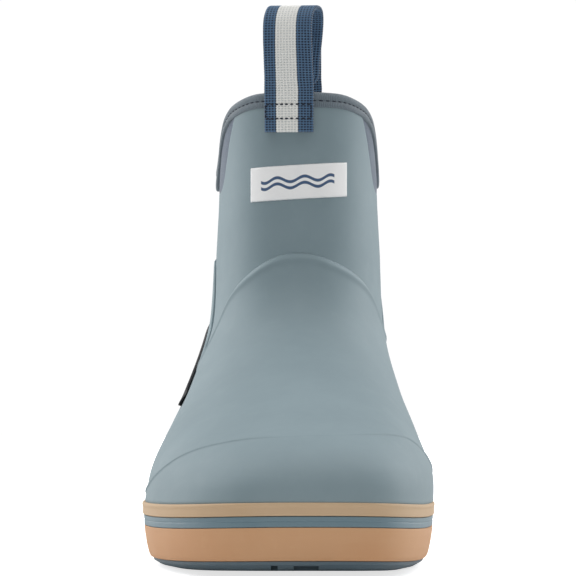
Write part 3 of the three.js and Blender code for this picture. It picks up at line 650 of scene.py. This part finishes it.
def label_face(name, width, height):
    """A pale printed label: two plain wave lines."""
    material, n, shader = start_material(name)
    uv = n.add("ShaderNodeUVMap", uv_map="UVMap")
    parts = n.add("ShaderNodeSeparateXYZ")
    n.join(uv.outputs[0], parts.inputs[0])
    across = n.math("DIVIDE", parts.outputs[0], width * MM)
    up = n.math("DIVIDE", parts.outputs[1], height * MM)
    inside = None
    for centre in (0.42, 0.6):
        ripple = n.math("MULTIPLY", n.math("SINE", n.math("MULTIPLY", across, 8 * math.pi)), 0.07)
        gap = n.math("ABSOLUTE", n.math("SUBTRACT", n.math("SUBTRACT", up, centre), ripple))
        line = n.span(gap, 0.055, 0.035)
        ends = n.span(n.math("ABSOLUTE", n.math("SUBTRACT", across, 0.5)), 0.36, 0.35)
        line = n.math("MULTIPLY", line, ends)
        inside = line if inside is None else n.math("MAXIMUM", inside, line)
    where = n.add("ShaderNodeTexCoord")
    soil = n.span(n.noise(where.outputs["Object"], 140.0, 4.0), 0.45, 0.8, 0.0, 0.2)
    ground = n.blend(soil, srgb(253, 253, 253), srgb(232, 235, 236))
    n.join(n.blend(inside, ground, srgb(64, 92, 128)), shader.inputs["Base Color"])
    n.join(n.span(n.noise(where.outputs["Object"], 600.0), 0.3, 0.7, 0.4, 0.55),
           shader.inputs["Roughness"])
    bump(n, shader, n.noise(where.outputs["Object"], 2600.0), 0.08, 0.0001)
    return material


def brushed_steel(name):
    material, n, shader = start_material(name)
    where = n.add("ShaderNodeTexCoord")
    along = n.add("ShaderNodeMapping")
    along.inputs["Scale"].default_value = (900.0, 20.0, 20.0)
    n.join(where.outputs["Object"], along.inputs["Vector"])
    brush = n.noise(along.outputs[0], 1.0, 3.0)
    n.join(n.blend(brush, srgb(172, 176, 180), srgb(206, 209, 212)), shader.inputs["Base Color"])
    n.join(n.span(brush, 0.3, 0.7, 0.28, 0.45), shader.inputs["Roughness"])
    shader.inputs["Metallic"].default_value = 1.0
    bump(n, shader, brush, 0.15, 0.00005)
    return material


# ------------------------------------------------------------------ finishes
UPPER = rubber("blue_grey_rubber", srgb(127, 146, 153), srgb(143, 161, 168), 0.3, 0.68, 0.06)
SHELL = rubber("blue_grey_overlay", srgb(129, 148, 155), srgb(145, 163, 170), 0.3, 0.66, 0.06)
GUM = rubber("gum_rubber", srgb(210, 160, 117), srgb(218, 176, 136), 0.35, 0.7, 0.08)
BAND = rubber("sand_rubber", srgb(203, 173, 138), srgb(212, 187, 156), 0.3, 0.7, 0.06)
STRIPE = rubber("stripe_rubber", srgb(104, 130, 142), srgb(124, 148, 158), 0.3, 0.5, 0.06)
TREAD = rubber("outsole_rubber", srgb(88, 108, 120), srgb(112, 130, 140), 0.35, 0.6, 0.16)
PATCH = rubber("dark_patch_rubber", srgb(10, 12, 18), srgb(22, 26, 34), 0.3, 0.75, 0.1)
# The second colour of each knit is painted shade in its yarn valleys and the tone of its darker
# patches.
NEOPRENE = cloth("lining_knit", srgb(112, 126, 148), srgb(62, 74, 94), 0.0009, 0.0007)
GORE = cloth("gore_knit", srgb(98, 115, 134), srgb(50, 64, 84), 0.0011, 0.0006, offset=0.0)
BINDING = cloth("collar_binding_knit", srgb(124, 137, 146), srgb(70, 82, 92), 0.0007, 0.0005)
WEBBING = strap_cloth("striped_webbing", -0.6, 4.15)
SEWING = rubber("dark_thread", srgb(22, 30, 46), srgb(44, 54, 72), 0.4, 0.75, 0.0, 5200.0, 0.4)
FOAM = rubber("open_foam", srgb(214, 210, 198), srgb(190, 184, 170), 0.5, 0.95, 0.0, 1400.0,
              0.8, 0.0004)
BOARD = rubber("fibre_board", srgb(168, 142, 108), srgb(140, 116, 86), 0.6, 0.92, 0.0, 1800.0,
               0.5, 0.0003)
# Its second colour is painted shade in the yarn valleys and the tone of darker patches.
FOOTBED = cloth("footbed_knit", srgb(64, 74, 88), srgb(34, 42, 54), 0.0012, 0.0010)
STEEL = brushed_steel("shank_steel")


def finish_piece(piece, material, stands_for):
    """Gives a piece that rides on the boot its finish and its place in the frame."""
    piece.data.materials.clear()
    piece.data.materials.append(material)
    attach(piece, "boot")
    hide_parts(*stands_for)
    return piece


# ------------------------------------------------------------------ collar lines
collar_line = curve([[0, 0], [25, -0.3], [50, -3.6], [65, -9], [74, -15.5], [82, -22],
                     [90, -27.6], [98, -30], [107, -28.4], [117, -21.5], [127, -14],
                     [138, -7.8], [150, -4], [165, -1.6], [180, COLLAR_BACK - COLLAR_FRONT]],
                    2)
notch_line = curve([[48, 178], [52, 172.5], [56, 167], [60, 160.5], [66, 152.5], [72, 148],
                    [80, 146.3], [92, 146], [104, 146.3], [112, 149], [120, 155.5],
                    [128, 164.5], [134, 172], [138, 180]], 1)
BINDING_FOOT = 6.3


def collar(angle):
    return COLLAR_FRONT + collar_line(np.abs(wrap(angle)))


def under_binding(angle):
    return collar(angle) - BINDING_FOOT


def rubber_top(angle):
    turn = np.abs(wrap(angle))
    inside = (turn > 48) & (turn < 138)
    return np.minimum(under_binding(angle), np.where(inside, notch_line(turn), 999.0))


# ------------------------------------------------------------------ upper
def upper_panel(name, start, end, node):
    angles = even_angles(start, end, 190)
    heights = even_heights(angles, SHELL_FROM, rubber_top(angles), 128)
    piece = wall(name, angles, heights, 0.0, -RUBBER)
    return finish_piece(piece, UPPER, stands_for=[node])


cap_outer = curve([[0, 50.6], [20, 49.4], [36, 46.8], [46, 43.8], [60, 35.4], [70, 27]], 2)
cap_inner = curve([[0, 50.6], [20, 50.9], [41, 49.6], [52, 47], [62, 43], [72, 35], [79, 27]], 2)
CAP_LATERAL, CAP_MEDIAL = -68.0, 77.0
OVERLAY_FROM = TOP_TO + 0.15


def cap_edge(angle):
    return np.where(angle < 0, cap_outer(-angle), cap_inner(angle))


arch_outer = curve([[0, 121.4], [8, 120.9], [20, 117.8], [34, 112.3], [46, 106.5], [54, 100],
                    [60, 92], [66, 83], [72, 74]], 2)
arch_inner = curve([[0, 121.4], [8, 120.9], [20, 118.2], [38, 113.2], [50, 108.5], [60, 102.5],
                    [68, 96], [76, 90], [84, 86]], 2)
heel_top_outer = curve([[74, 90], [80, 105], [86, 115], [93, 119.4], [104, 119], [130, 111],
                        [180, 104]], 2)
heel_top_inner = curve([[86, 62], [94, 84], [102, 101], [112, 110], [130, 110], [180, 104]], 2)


def flat_line(height):
    return lambda angles: np.full(len(angles), float(height))


def toe_cap():
    piece = overlay("toe_cap_shell", CAP_LATERAL, CAP_MEDIAL, flat_line(OVERLAY_FROM), cap_edge,
                    260, 120, OVERLAY + LIE, 0.5, bead=(0.5, 1.2, 0.25))
    return finish_piece(piece, SHELL, stands_for=["toe_cap"])


def instep_overlay():
    piece = overlay("instep_overlay_sheet", -72.0, 83.5, flat_line(OVERLAY_FROM),
                    lambda a: np.where(a < 0, arch_outer(-a), arch_inner(a)), 260, 190, 0.0,
                    OVERLAY, bead=(0.55, 2.6, 1.0), soft=3.4, end_share=0.5)
    return finish_piece(piece, SHELL, stands_for=["instep_overlay"])


def heel_overlay():
    def top(angle):
        turned = wrap(angle)
        return np.where(turned < 0, heel_top_outer(-turned), heel_top_inner(turned))

    piece = overlay("heel_overlay_sheet", 86.0, 286.0, flat_line(OVERLAY_FROM), top, 260, 100,
                    0.0, OVERLAY)
    return finish_piece(piece, SHELL, stands_for=["heel_overlay"])


PATCH_FRONT, PATCH_REAR = 71.5, 99.0     # its two ends, as angles
PATCH_TIP = 65.0        # height of its front tip
PATCH_RISE = 24.0       # and how much higher its rear tip is
PATCH_HEIGHT = 25.0


def patch_line(angles, side):
    """Top (side 1) or foot (side -1) of the leaf-shaped side patch, which rises rearward."""
    share = np.clip((-PATCH_FRONT - angles) / (PATCH_REAR - PATCH_FRONT), 0.004, 0.996)
    half = PATCH_HEIGHT / 2 * np.sin(np.pi * share ** 0.8) ** 0.65
    return mix(PATCH_TIP, PATCH_TIP + PATCH_RISE, share) + side * half


def side_patch():
    piece = overlay("outer_side_patch", -PATCH_REAR, -PATCH_FRONT,
                    lambda a: patch_line(a, -1), lambda a: patch_line(a, 1), 160, 70,
                    OVERLAY + LIE, 1.0, soft=5.0, end_share=1.0)
    return finish_piece(piece, PATCH, stands_for=["side_patch"])


def gore(name, start, end, node):
    lines, rows = 120, 60
    angles = even_angles(start, end, lines)
    turn = np.abs(angles)
    low, high = notch_line(turn) - 3.0, under_binding(angles)
    heights = even_heights(angles, low, high + 0.6, rows)
    share = np.linspace(0, 1, rows)[None, :]
    swell = 0.5 * np.sin(np.pi * share) ** 0.7
    tucked = -0.6 * (1 - smooth(0.0, 0.12, share))
    piece = wall(name, angles, heights, -0.55 + swell + tucked, -1.9)
    return finish_piece(piece, GORE, stands_for=[node])


# ------------------------------------------------------------------ lining and collar
def pocket(angle, height):
    """The lining gives way inward where the toe puff and the heel counter lie."""
    turn = np.abs(wrap(angle))
    toe = (1 - smooth(60, 70, turn)) * (1 - smooth(47, 52, height))
    heel = smooth(102, 110, turn) * (1 - smooth(90, 102, height))
    return 1.8 * np.maximum(toe, heel)


def lining():
    heights = even_heights(RING, LINER_FROM, collar(RING) - 1.8, 110)
    give = pocket(RING[:, None], heights)
    piece = wall("knit_lining", RING, heights, -RUBBER - LINER_GAP - give,
                 -RUBBER - LINER_GAP - LINER - give, ring=True, floor=True)
    return finish_piece(piece, NEOPRENE, stands_for=["neoprene_liner"])


COLLAR_SECTION = [(-1.9, -6.2), (0.15, -6.3), (0.55, -5.7), (0.62, -4.7), (0.34, -3.85),
                  (0.0, -3.5), (0.28, -3.15), (0.45, -2.2), (0.2, -1.0), (-0.9, -0.15),
                  (-3.2, 0.05), (-5.6, -0.2), (-6.5, -1.2), (-6.7, -3.0), (-6.7, -6.0),
                  (-6.5, -6.9), (-5.3, -7.0), (-5.15, -6.4), (-5.15, -2.0), (-4.6, -1.6),
                  (-2.6, -1.6), (-2.05, -2.0), (-2.0, -6.0)]


def binding():
    profile = rounded_loop(dense(COLLAR_SECTION, 0.8), 1)
    low = smooth(80, 97, np.abs(RING)) * (1 - smooth(99, 118, np.abs(RING)))
    sag = (low * np.where(RING < 0, 2.6, 1.4))[:, None] * smooth(-3.0, -6.0, profile[:, 1])
    height = collar(RING)[:, None] + profile[None, :, 1] - sag
    stand = (low * np.where(RING < 0, 1.0, 0.5))[:, None] * smooth(-1.5, 0.0, profile[:, 0])
    points = surface(RING[:, None], height, profile[None, :, 0] + stand)
    piece = lay_up("rolled_collar_binding", points, ring=True, closed=True)
    return finish_piece(piece, BINDING, stands_for=["collar_binding"])


def stitches(name, centres, ways, lengths, thick, node):
    """Short rounded stitches, each a small closed bead laid along its way."""
    bm = bmesh.new()
    for centre, way, long in zip(centres, ways, lengths):
        turn = Vector(way).to_track_quat("X", "Z").to_matrix().to_4x4()
        place = Matrix.Translation(Vector(centre) * MM) @ turn
        size = Matrix.Diagonal((long * MM / 2, thick * MM / 2, thick * MM / 2, 1))
        bmesh.ops.create_uvsphere(bm, u_segments=6, v_segments=5, radius=1.0,
                                  matrix=place @ size)
    for face in bm.faces:
        face.smooth = True
    mesh = bpy.data.meshes.new(name)
    bm.to_mesh(mesh)
    bm.free()
    piece = bpy.data.objects.new(name, mesh)
    bpy.context.scene.collection.objects.link(piece)
    return finish_piece(piece, SEWING, [node])


def collar_stitches():
    fine = np.linspace(-180, 180, 3000)
    line = surface(fine, collar(fine) - 3.5, STITCH_PROUD)
    run = np.r_[0, np.cumsum(np.linalg.norm(np.diff(line, axis=0), axis=-1))]
    count = int(run[-1] / STITCH)
    at = (np.arange(count) + 0.5) * run[-1] / count

    def along(s):
        return np.stack([np.interp(s % run[-1], run, line[:, k]) for k in range(3)], -1)

    return stitches("collar_sewing", along(at), along(at + 0.4) - along(at - 0.4),
                    np.full(count, STITCH_LONG), THREAD, "binding_thread")


# ------------------------------------------------------------------ sole
def sole():
    low, stripe, top = LOW_FROM, STRIPE_FROM, TOP_FROM
    gum = sweep("gum_foxing", dense([(-1.5, low), (-1.0, low + 0.9), (-0.7, low + 1.6),
                (0.1, low + 5), (0.75, low + 9), (1.1, stripe - 0.35), (-2.7, stripe - 0.35),
                (-2.7, SHELL_FROM - 0.35), (-6, SHELL_FROM - 0.35), (-6, low)], 0.7))
    finish_piece(gum, GUM, stands_for=["lower_foxing"])
    middle = stripe + 1.9
    band = sweep("blue_grey_stripe", dense([(1.05, stripe - 0.2), (1.12, middle - 0.25),
                 (0.98, middle), (1.16, middle + 0.25), (1.25, top - 0.45),
                 (-2.7, top - 0.45), (-2.7, stripe - 0.2)], 0.5))
    finish_piece(band, STRIPE, stands_for=["stripe_band"])
    sand = sweep("sand_foxing", dense([(1.55, top - 0.25), (1.7, top + 0.2), (1.7, TOP_TO - 1.3),
                 (1.95, TOP_TO - 0.7), (1.9, TOP_TO), (1.5, TOP_TO + 0.45), (0.8, TOP_TO + 0.5),
                 (-0.6, TOP_TO - 1.4), (-2.4, top - 0.25)], 0.5))
    finish_piece(sand, BAND, stands_for=["top_foxing"])


def prism(bm, corners, low, high):
    """Adds an upright prism over a plan outline, in millimetres."""
    base = [bm.verts.new((x * MM, y * MM, low * MM)) for x, y in corners]
    made = bmesh.ops.extrude_face_region(bm, geom=[bm.faces.new(base)])
    top = [v for v in made["geom"] if isinstance(v, bmesh.types.BMVert)]
    bmesh.ops.translate(bm, vec=(0, 0, (high - low) * MM), verts=top)


def cutter(name, bm):
    bmesh.ops.recalc_face_normals(bm, faces=bm.faces[:])
    mesh = bpy.data.meshes.new(name)
    bm.to_mesh(mesh)
    bm.free()
    made = bpy.data.objects.new(name, mesh)
    bpy.context.scene.collection.objects.link(made)
    return made


def half_width(y, out):
    """Where the sole outline lies on each side at a place along the boot."""
    x, at = outline(RING, out)
    sides = []
    for side in (x < MIDDLE_HEEL, x >= MIDDLE_HEEL):
        order = np.argsort(at[side])
        sides.append(float(np.interp(y, at[side][order], x[side][order])))
    return sides


TREAD_PITCH, TREAD_WIDTH, TREAD_DEPTH = 10.5, 2.6, 1.7
TREAD_POINT = 7.0       # how far a chevron's point lies ahead of its ends
TREAD_FROM, TREAD_TO = -130, 128


def outsole():
    """A plate whose rim slopes in towards the ground, with chevron tread grooves."""
    rim = [(-14.0, 0.0), (-9.0, 0.05), (-5.0, 0.9), (-2.7, 2.2), (-2.4, OUTSOLE_TOP + 0.1)]
    bm = bmesh.new()
    x, y = outline(RING[:, None], np.array([out for out, _ in rim])[None, :])
    rows = [[bm.verts.new((a * MM, b * MM, (z + float(lift(b))) * MM))
             for a, b in zip(x[:, k], y[:, k])] for k, (_, z) in enumerate(rim)]
    for lower, upper in zip(rows, rows[1:]):
        for i in range(len(lower)):
            j = (i + 1) % len(lower)
            bm.faces.new((lower[i], lower[j], upper[j], upper[i]))
    for ring in (rows[0], rows[-1]):
        bm.faces.new(ring)
    plate = cutter("tread_outsole", bm)

    bm = bmesh.new()
    for at in np.arange(TREAD_FROM, TREAD_TO, TREAD_PITCH):
        left, right = half_width(at + TREAD_POINT, -9.0)
        high = TREAD_DEPTH + float(lift(at))
        prism(bm, [(left, at + TREAD_POINT), (MIDDLE_HEEL, at), (right, at + TREAD_POINT),
                   (right, at + TREAD_POINT + TREAD_WIDTH), (MIDDLE_HEEL, at + TREAD_WIDTH),
                   (left, at + TREAD_POINT + TREAD_WIDTH)], -2, high)
    tip = low_of("outsole")[1]
    for middle, wide in ((-5.0, 2.4), (6.6, 9.0)):
        prism(bm, [(middle - wide / 2, tip - 4), (middle + wide / 2, tip - 4),
                   (middle + wide / 2, tip + 14), (middle - wide / 2, tip + 14)],
              -2, TOE_SPRING + 1.2)
    grooves = cutter("grooves", bm)
    cut = plate.modifiers.new("tread", "BOOLEAN")
    cut.operation, cut.object, cut.solver = "DIFFERENCE", grooves, "EXACT"
    bpy.context.view_layer.update()
    seen = plate.evaluated_get(bpy.context.evaluated_depsgraph_get())
    final = bpy.data.meshes.new_from_object(seen)
    plate.modifiers.clear()
    plate.data = final
    bpy.data.objects.remove(grooves)
    return finish_piece(plate, TREAD, stands_for=["outsole"])


def footbed_layer(name, low, high, out, node, material):
    """A plate that follows the sole outline, with its rim rounded over."""
    x, y = outline(RING, out)
    centre_y = section(RING, FEATHER)[1] * 0.9
    centre_x = np.full(len(RING), 3.2)
    shares = np.r_[0, 0.2, 0.4, 0.6, 0.8, 0.93, 0.985]
    rows = [np.stack([mix(centre_x, x, s), mix(centre_y, y, s),
                      np.full(len(RING), low)], -1) for s in shares]
    rows += [np.stack([x, y, np.full(len(RING), mix(low, high, s))], -1) for s in (0.25, 0.75)]
    rows += [np.stack([mix(centre_x, x, s), mix(centre_y, y, s),
                       np.full(len(RING), high)], -1) for s in shares[::-1]]
    points = np.stack(rows, 1)
    points[..., 2] += lift(points[..., 1])
    piece = lay_up(name, points, ring=True)
    return finish_piece(piece, material, stands_for=[node])


def footbed():
    out = -TUCK - RUBBER - LINER_GAP - LINER - BED_GAP
    foam = footbed_layer("footbed_foam_layer", BED_FROM, BED_FROM + BED_FOAM, out,
                         "footbed_foam", FOAM)
    footbed_layer("footbed_top_cloth", CLOTH_FROM, CLOTH_FROM + BED_CLOTH, out,
                  "footbed_cloth", FOOTBED)


# ------------------------------------------------------------------ label
def angle_at(x, height, start, end):
    """Angle at which the section reaches a place across the boot."""
    fine = np.linspace(start, end, 2400)
    across = section(fine, height)[0]
    order = np.argsort(across)
    return float(np.interp(x, across[order], fine[order]))


LABEL_WIDTH, LABEL_HEIGHT, LABEL_THICK = 39.0, 14.0, 0.45
LABEL_X = 4.4           # its middle, across the boot
LABEL_TILT = 0.06       # rise of its edges towards the inner side
LABEL_LINES, LABEL_ROWS = 100, 40


def label():
    start = angle_at(LABEL_X - LABEL_WIDTH / 2, LABEL_MIDDLE, -80, 80)
    end = angle_at(LABEL_X + LABEL_WIDTH / 2, LABEL_MIDDLE, -80, 80)
    angles = even_angles(start, end, LABEL_LINES)
    middle = LABEL_MIDDLE + LABEL_TILT * (section(angles, LABEL_MIDDLE)[0] - LABEL_X)
    half = LABEL_HEIGHT / 2
    heights = even_heights(angles, middle - half, middle + half, LABEL_ROWS)
    flat = surface(angles[:, None], heights, 0)
    top, foot, end_gap = distance_to_edges(flat)
    edge = np.minimum(np.minimum(top, foot), end_gap)
    thick = LABEL_THICK * np.sqrt(smooth(0, 0.5, edge))
    face = surface(angles[:, None], heights, LIE + thick)
    under = surface(angles[:, None], heights, LIE)[:, ::-1]
    piece = lay_up("front_panel_label", np.concatenate([face, under], 1), closed=True)
    wide = float(np.linalg.norm(np.diff(flat[:, LABEL_ROWS // 2], axis=0), axis=-1).sum())
    return finish_piece(piece, label_face("white_label", wide, LABEL_HEIGHT),
                        stands_for=["front_label"])


# ------------------------------------------------------------------ pull straps
LEG_DROP = 16.5
LEG_DRAW = 0.92         # the sewn legs stand off the curved collar, so they are drawn in
OUTER_LEG = 1.75        # how far the two sewn legs lie from the rubber's outer face
INNER_LEG = -7.8
LOOP_MIDDLE = -3.075    # and how far the middle of the free loop does
LEG_HEIGHTS = [-LEG_DROP, -13, -9, -5.5, -2.5, 1.0]
LOOP_SIDE = [(5.825, 5.8), (7.5, 13), (8.6, 21), (6.9, 28.5), (3.2, 33.1), (0.0, 34.2)]
STRAP_LINES, STRAP_ROWS = 84, 470
FRONT_STRAP_X = 0.7     # middle of the front strap, across the boot
FRONT_STRAP_LEAN = 3.2  # its free loop hangs this far to one side


def spline(points, count):
    """A smooth path through points[k] of every line, evenly spaced along its length."""
    padded = np.concatenate([[2 * points[0] - points[1]], points,
                             [2 * points[-1] - points[-2]]], 0)
    fine = []
    for k in range(1, len(padded) - 2):
        a, b, c, d = padded[k - 1:k + 3]
        for t in np.linspace(0, 1, 24, endpoint=False):
            fine.append(0.5 * (2 * b + (c - a) * t + (2 * a - 5 * b + 4 * c - d) * t**2
                               + (3 * b - a - 3 * c + d) * t**3))
    fine = np.array(fine + [points[-1]])
    middle = fine[:, fine.shape[1] // 2]
    run = np.r_[0, np.cumsum(np.linalg.norm(np.diff(middle, axis=0), axis=-1))]
    want = np.linspace(0, run[-1], count)
    cut = np.clip(np.searchsorted(run, want) - 1, 0, len(run) - 2)
    share = ((want - run[cut]) / (run[cut + 1] - run[cut]))[:, None, None]
    return fine[cut] * (1 - share) + fine[cut + 1] * share, run[-1]


def strap_path(middle_angle, edges, top, lean):
    """Points of a strap's middle layer: up outside the collar, over, and down inside."""
    near = surface(middle_angle, top - 3, LOOP_MIDDLE)
    away = surface(middle_angle, top - 3, 0) - near
    away[2] = 0
    away = away / np.linalg.norm(away)
    along = np.cross([0, 0, 1], away)
    width = np.linspace(-WEB_WIDTH / 2, WEB_WIDTH / 2, STRAP_LINES)
    angles = np.interp(width, [-WEB_WIDTH / 2, 0, WEB_WIDTH / 2],
                       [edges[0], middle_angle, edges[1]])
    angles = middle_angle + (angles - middle_angle) * LEG_DRAW

    def leg(heights, out):
        return [surface(angles, top + h, out) for h in heights]

    def free(n, z, share):
        hollow = width ** 2 / 37 * (1 - smooth(0.15, 0.85, z / 35))
        slip = lean * smooth(0.3, 0.65, share) * (1 - 0.8 * smooth(0.62, 1, share)) - 0.3
        flat = along * (width + slip)[:, None] + away * (n - hollow)[:, None]
        return np.array([near[0], near[1], top + z]) + flat

    whole = LOOP_SIDE + [(-n, z) for n, z in LOOP_SIDE[-2::-1]]
    path = leg(LEG_HEIGHTS, OUTER_LEG)
    path += [free(n, z, k / (len(whole) - 1)) for k, (n, z) in enumerate(whole)]
    path += leg(LEG_HEIGHTS[::-1], INNER_LEG)
    return np.array(path), width


def strap(name, middle_angle, edges, top, lean, nodes):
    """A strap of woven webbing, folded about the collar."""
    path, width = strap_path(middle_angle, edges, top, lean)
    centre, long = spline(path, STRAP_ROWS)
    down = np.gradient(centre, axis=0)
    over = np.gradient(centre, axis=1)
    normal = np.cross(over, down)
    normal /= np.linalg.norm(normal, axis=-1, keepdims=True)
    outer_side = surface(middle_angle, top - 10, 2.0) - surface(middle_angle, top - 10, 0.0)
    if (normal[8, STRAP_LINES // 2] * outer_side).sum() < 0:
        normal = -normal
    along = np.linspace(0, long, STRAP_ROWS)[:, None]
    from_side = WEB_WIDTH / 2 - np.abs(width)[None, :]
    from_end = np.minimum(along, long - along)
    half = WEB / 2
    rim = np.sqrt(np.clip(1 - (1 - np.clip(from_side / half, 0, 1)) ** 2, 0, 1))
    tip = np.sqrt(np.clip(1 - (1 - np.clip(from_end / half, 0, 1)) ** 2, 0, 1))
    u = np.abs(np.sin(np.pi * width / WEB_COLUMN))[None, :]
    v = np.abs(np.sin(np.pi * along / WEB_ROW))
    weave = 0.30 * (0.5 - (1 - 0.85 * u ** 1.6) * (1 - v ** 1.6))
    thick = ((half + weave) * rim * tip)[..., None]
    loop = np.concatenate([centre + normal * thick, (centre - normal * thick)[:, ::-1]], 1)
    points = np.swapaxes(loop, 0, 1)
    across = np.r_[width, width[::-1], width[:1]]
    piece = lay_up(name, points, ring=True, across=across)
    piece.data.materials.append(WEBBING)
    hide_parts(*nodes)
    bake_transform(piece)
    return piece


def box_sewing(name, edges, top, node):
    """The sewn box that holds a strap to the collar, as single stitches."""
    start, end = sorted(edges)
    inset = (end - start) * 0.09
    left, right = start + inset, end - inset
    low, high = top - LEG_DROP + 5.6, top - 5.2

    def level_seam(height, count):
        return [(left + (right - left) * (i + 0.5) / count, height, 1) for i in range(count)]

    def upright_seam(angle, count):
        return [(angle, low + (high - low) * (i + 0.5) / count, 0) for i in range(count)]

    marks = (level_seam(low, 9) + level_seam(high, 9) + upright_seam(left, 3)
             + upright_seam(right, 3))
    centres, ways, sizes = [], [], []
    for angle, height, level in marks:
        here = surface(angle, height, OUTER_LEG + WEB / 2 + STITCH_PROUD)
        there = surface(angle + (0.4 if level else 0), height + (0 if level else 0.6),
                        OUTER_LEG + WEB / 2 + STITCH_PROUD)
        centres.append(here)
        ways.append(there - here)
        sizes.append(BOX_STITCH_LONG)
    return stitches(name, centres, ways, sizes, BOX_THREAD, node)


def straps():
    half = WEB_WIDTH / 2
    middle, *edges = (angle_at(FRONT_STRAP_X + aside, COLLAR_FRONT - 8, -80, 80)
                      for aside in (0, -half, half))
    strap("front_pull_strap", middle, edges, COLLAR_FRONT, FRONT_STRAP_LEAN,
          ["front_loop", "front_loop_outer_leg", "front_loop_inner_leg"])
    box_sewing("front_strap_sewing", edges, COLLAR_FRONT, "front_loop_stitching")
    rear = angle_at(MIDDLE_HEEL + half, COLLAR_BACK - 8, 100, 180)
    edges = (rear, 360 - rear)
    strap("rear_pull_strap", 180.0, edges, COLLAR_BACK, 0.0,
          ["rear_loop", "rear_loop_outer_leg", "rear_loop_inner_leg"])
    box_sewing("rear_strap_sewing", edges, COLLAR_BACK, "rear_loop_stitching")


# ------------------------------------------------------------------ hidden pieces
def hidden_pieces():
    """The stiffeners and the sole's inside keep their own shapes."""
    for node, material in (("midsole", FOAM), ("heel_wedge", FOAM), ("shank", STEEL),
                           ("insole_board", BOARD), ("toe_puff", BOARD),
                           ("heel_counter", BOARD)):
        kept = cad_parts[node]
        kept.data.materials.clear()
        kept.data.materials.append(material)


# ------------------------------------------------------------------ studio
CAMERA_BACK, CAMERA_HEIGHT, LENS = 1.5, 0.107, 233.75
SKY_LIGHT, SKY_SEEN = 0.40, 1.02        # strength as light, and as the camera sees it
FLOOR_GLOW, FLOOR_SEEN = 0.04, 0.72
FLOOR_HALF = 1.2


def seen_by_camera(n, light, seen):
    """One value for the light that falls on things and another for the camera."""
    camera_ray = n.add("ShaderNodeLightPath").outputs["Is Camera Ray"]
    return n.span(camera_ray, 0.0, 1.0, light, seen)


def white_world(scene):
    world = bpy.data.worlds.new("white_studio")
    scene.world = world
    world.use_nodes = True
    n = Nodes(world.node_tree)
    sky = world.node_tree.nodes["Background"]
    sky.inputs["Color"].default_value = (1, 1, 1, 1)
    n.join(seen_by_camera(n, SKY_LIGHT, SKY_SEEN), sky.inputs["Strength"])


def pale_floor(scene):
    mesh = bpy.data.meshes.new("studio_floor")
    bm = bmesh.new()
    bmesh.ops.create_grid(bm, x_segments=1, y_segments=1, size=FLOOR_HALF)
    bm.to_mesh(mesh)
    bm.free()
    floor = bpy.data.objects.new("studio_floor", mesh)
    scene.collection.objects.link(floor)
    material, n, shader = start_material("pale_floor")
    shader.inputs["Base Color"].default_value = (0.85, 0.85, 0.85, 1)
    shader.inputs["Roughness"].default_value = 0.9
    shader.inputs["Emission Color"].default_value = (1, 1, 1, 1)
    n.join(seen_by_camera(n, FLOOR_GLOW, FLOOR_SEEN), shader.inputs["Emission Strength"])
    mesh.materials.append(material)


def softbox(scene, name, place, aim, wide, tall, power):
    lamp = bpy.data.lights.new(name, "AREA")
    lamp.shape, lamp.size, lamp.size_y, lamp.energy = "RECTANGLE", wide, tall, power
    box = bpy.data.objects.new(name, lamp)
    box.location = place
    way = Vector(aim) - Vector(place)
    box.rotation_euler = way.to_track_quat("-Z", "Y").to_euler()
    scene.collection.objects.link(box)


def front_camera(scene):
    lens = bpy.data.cameras.new("camera")
    lens.lens, lens.sensor_width = LENS, 36.0
    lens.clip_start, lens.clip_end = 0.05, 50
    camera = bpy.data.objects.new("camera", lens)
    camera.location = (0, -CAMERA_BACK, CAMERA_HEIGHT)
    camera.rotation_euler = (math.pi / 2, 0, 0)
    scene.collection.objects.link(camera)
    scene.camera = camera


def studio():
    scene = bpy.context.scene
    scene.view_settings.view_transform = "Standard"
    white_world(scene)
    pale_floor(scene)
    softbox(scene, "top_softbox", (0, 0, 1.5), (0, 0, 0.05), 1.6, 1.6, 12)
    softbox(scene, "left_strip", (-0.95, 0.8, 0.6), (0, 0, 0.1), 0.8, 1.2, 10)
    softbox(scene, "right_strip", (0.95, 0.8, 0.6), (0, 0, 0.1), 0.8, 1.2, 9)
    front_camera(scene)


# ------------------------------------------------------------------ the boot
upper_panel("front_rubber_upper", -SEAM, SEAM, "front_upper")
upper_panel("rear_rubber_upper", SEAM, 360 - SEAM, "rear_upper")
instep_overlay()
toe_cap()
heel_overlay()
side_patch()
gore("inner_gore", 47.0, 139.0, "medial_gore")
gore("outer_gore", -139.0, -47.0, "lateral_gore")
lining()
binding()
collar_stitches()
sole()
outsole()
footbed()
label()
straps()
hidden_pieces()
studio()
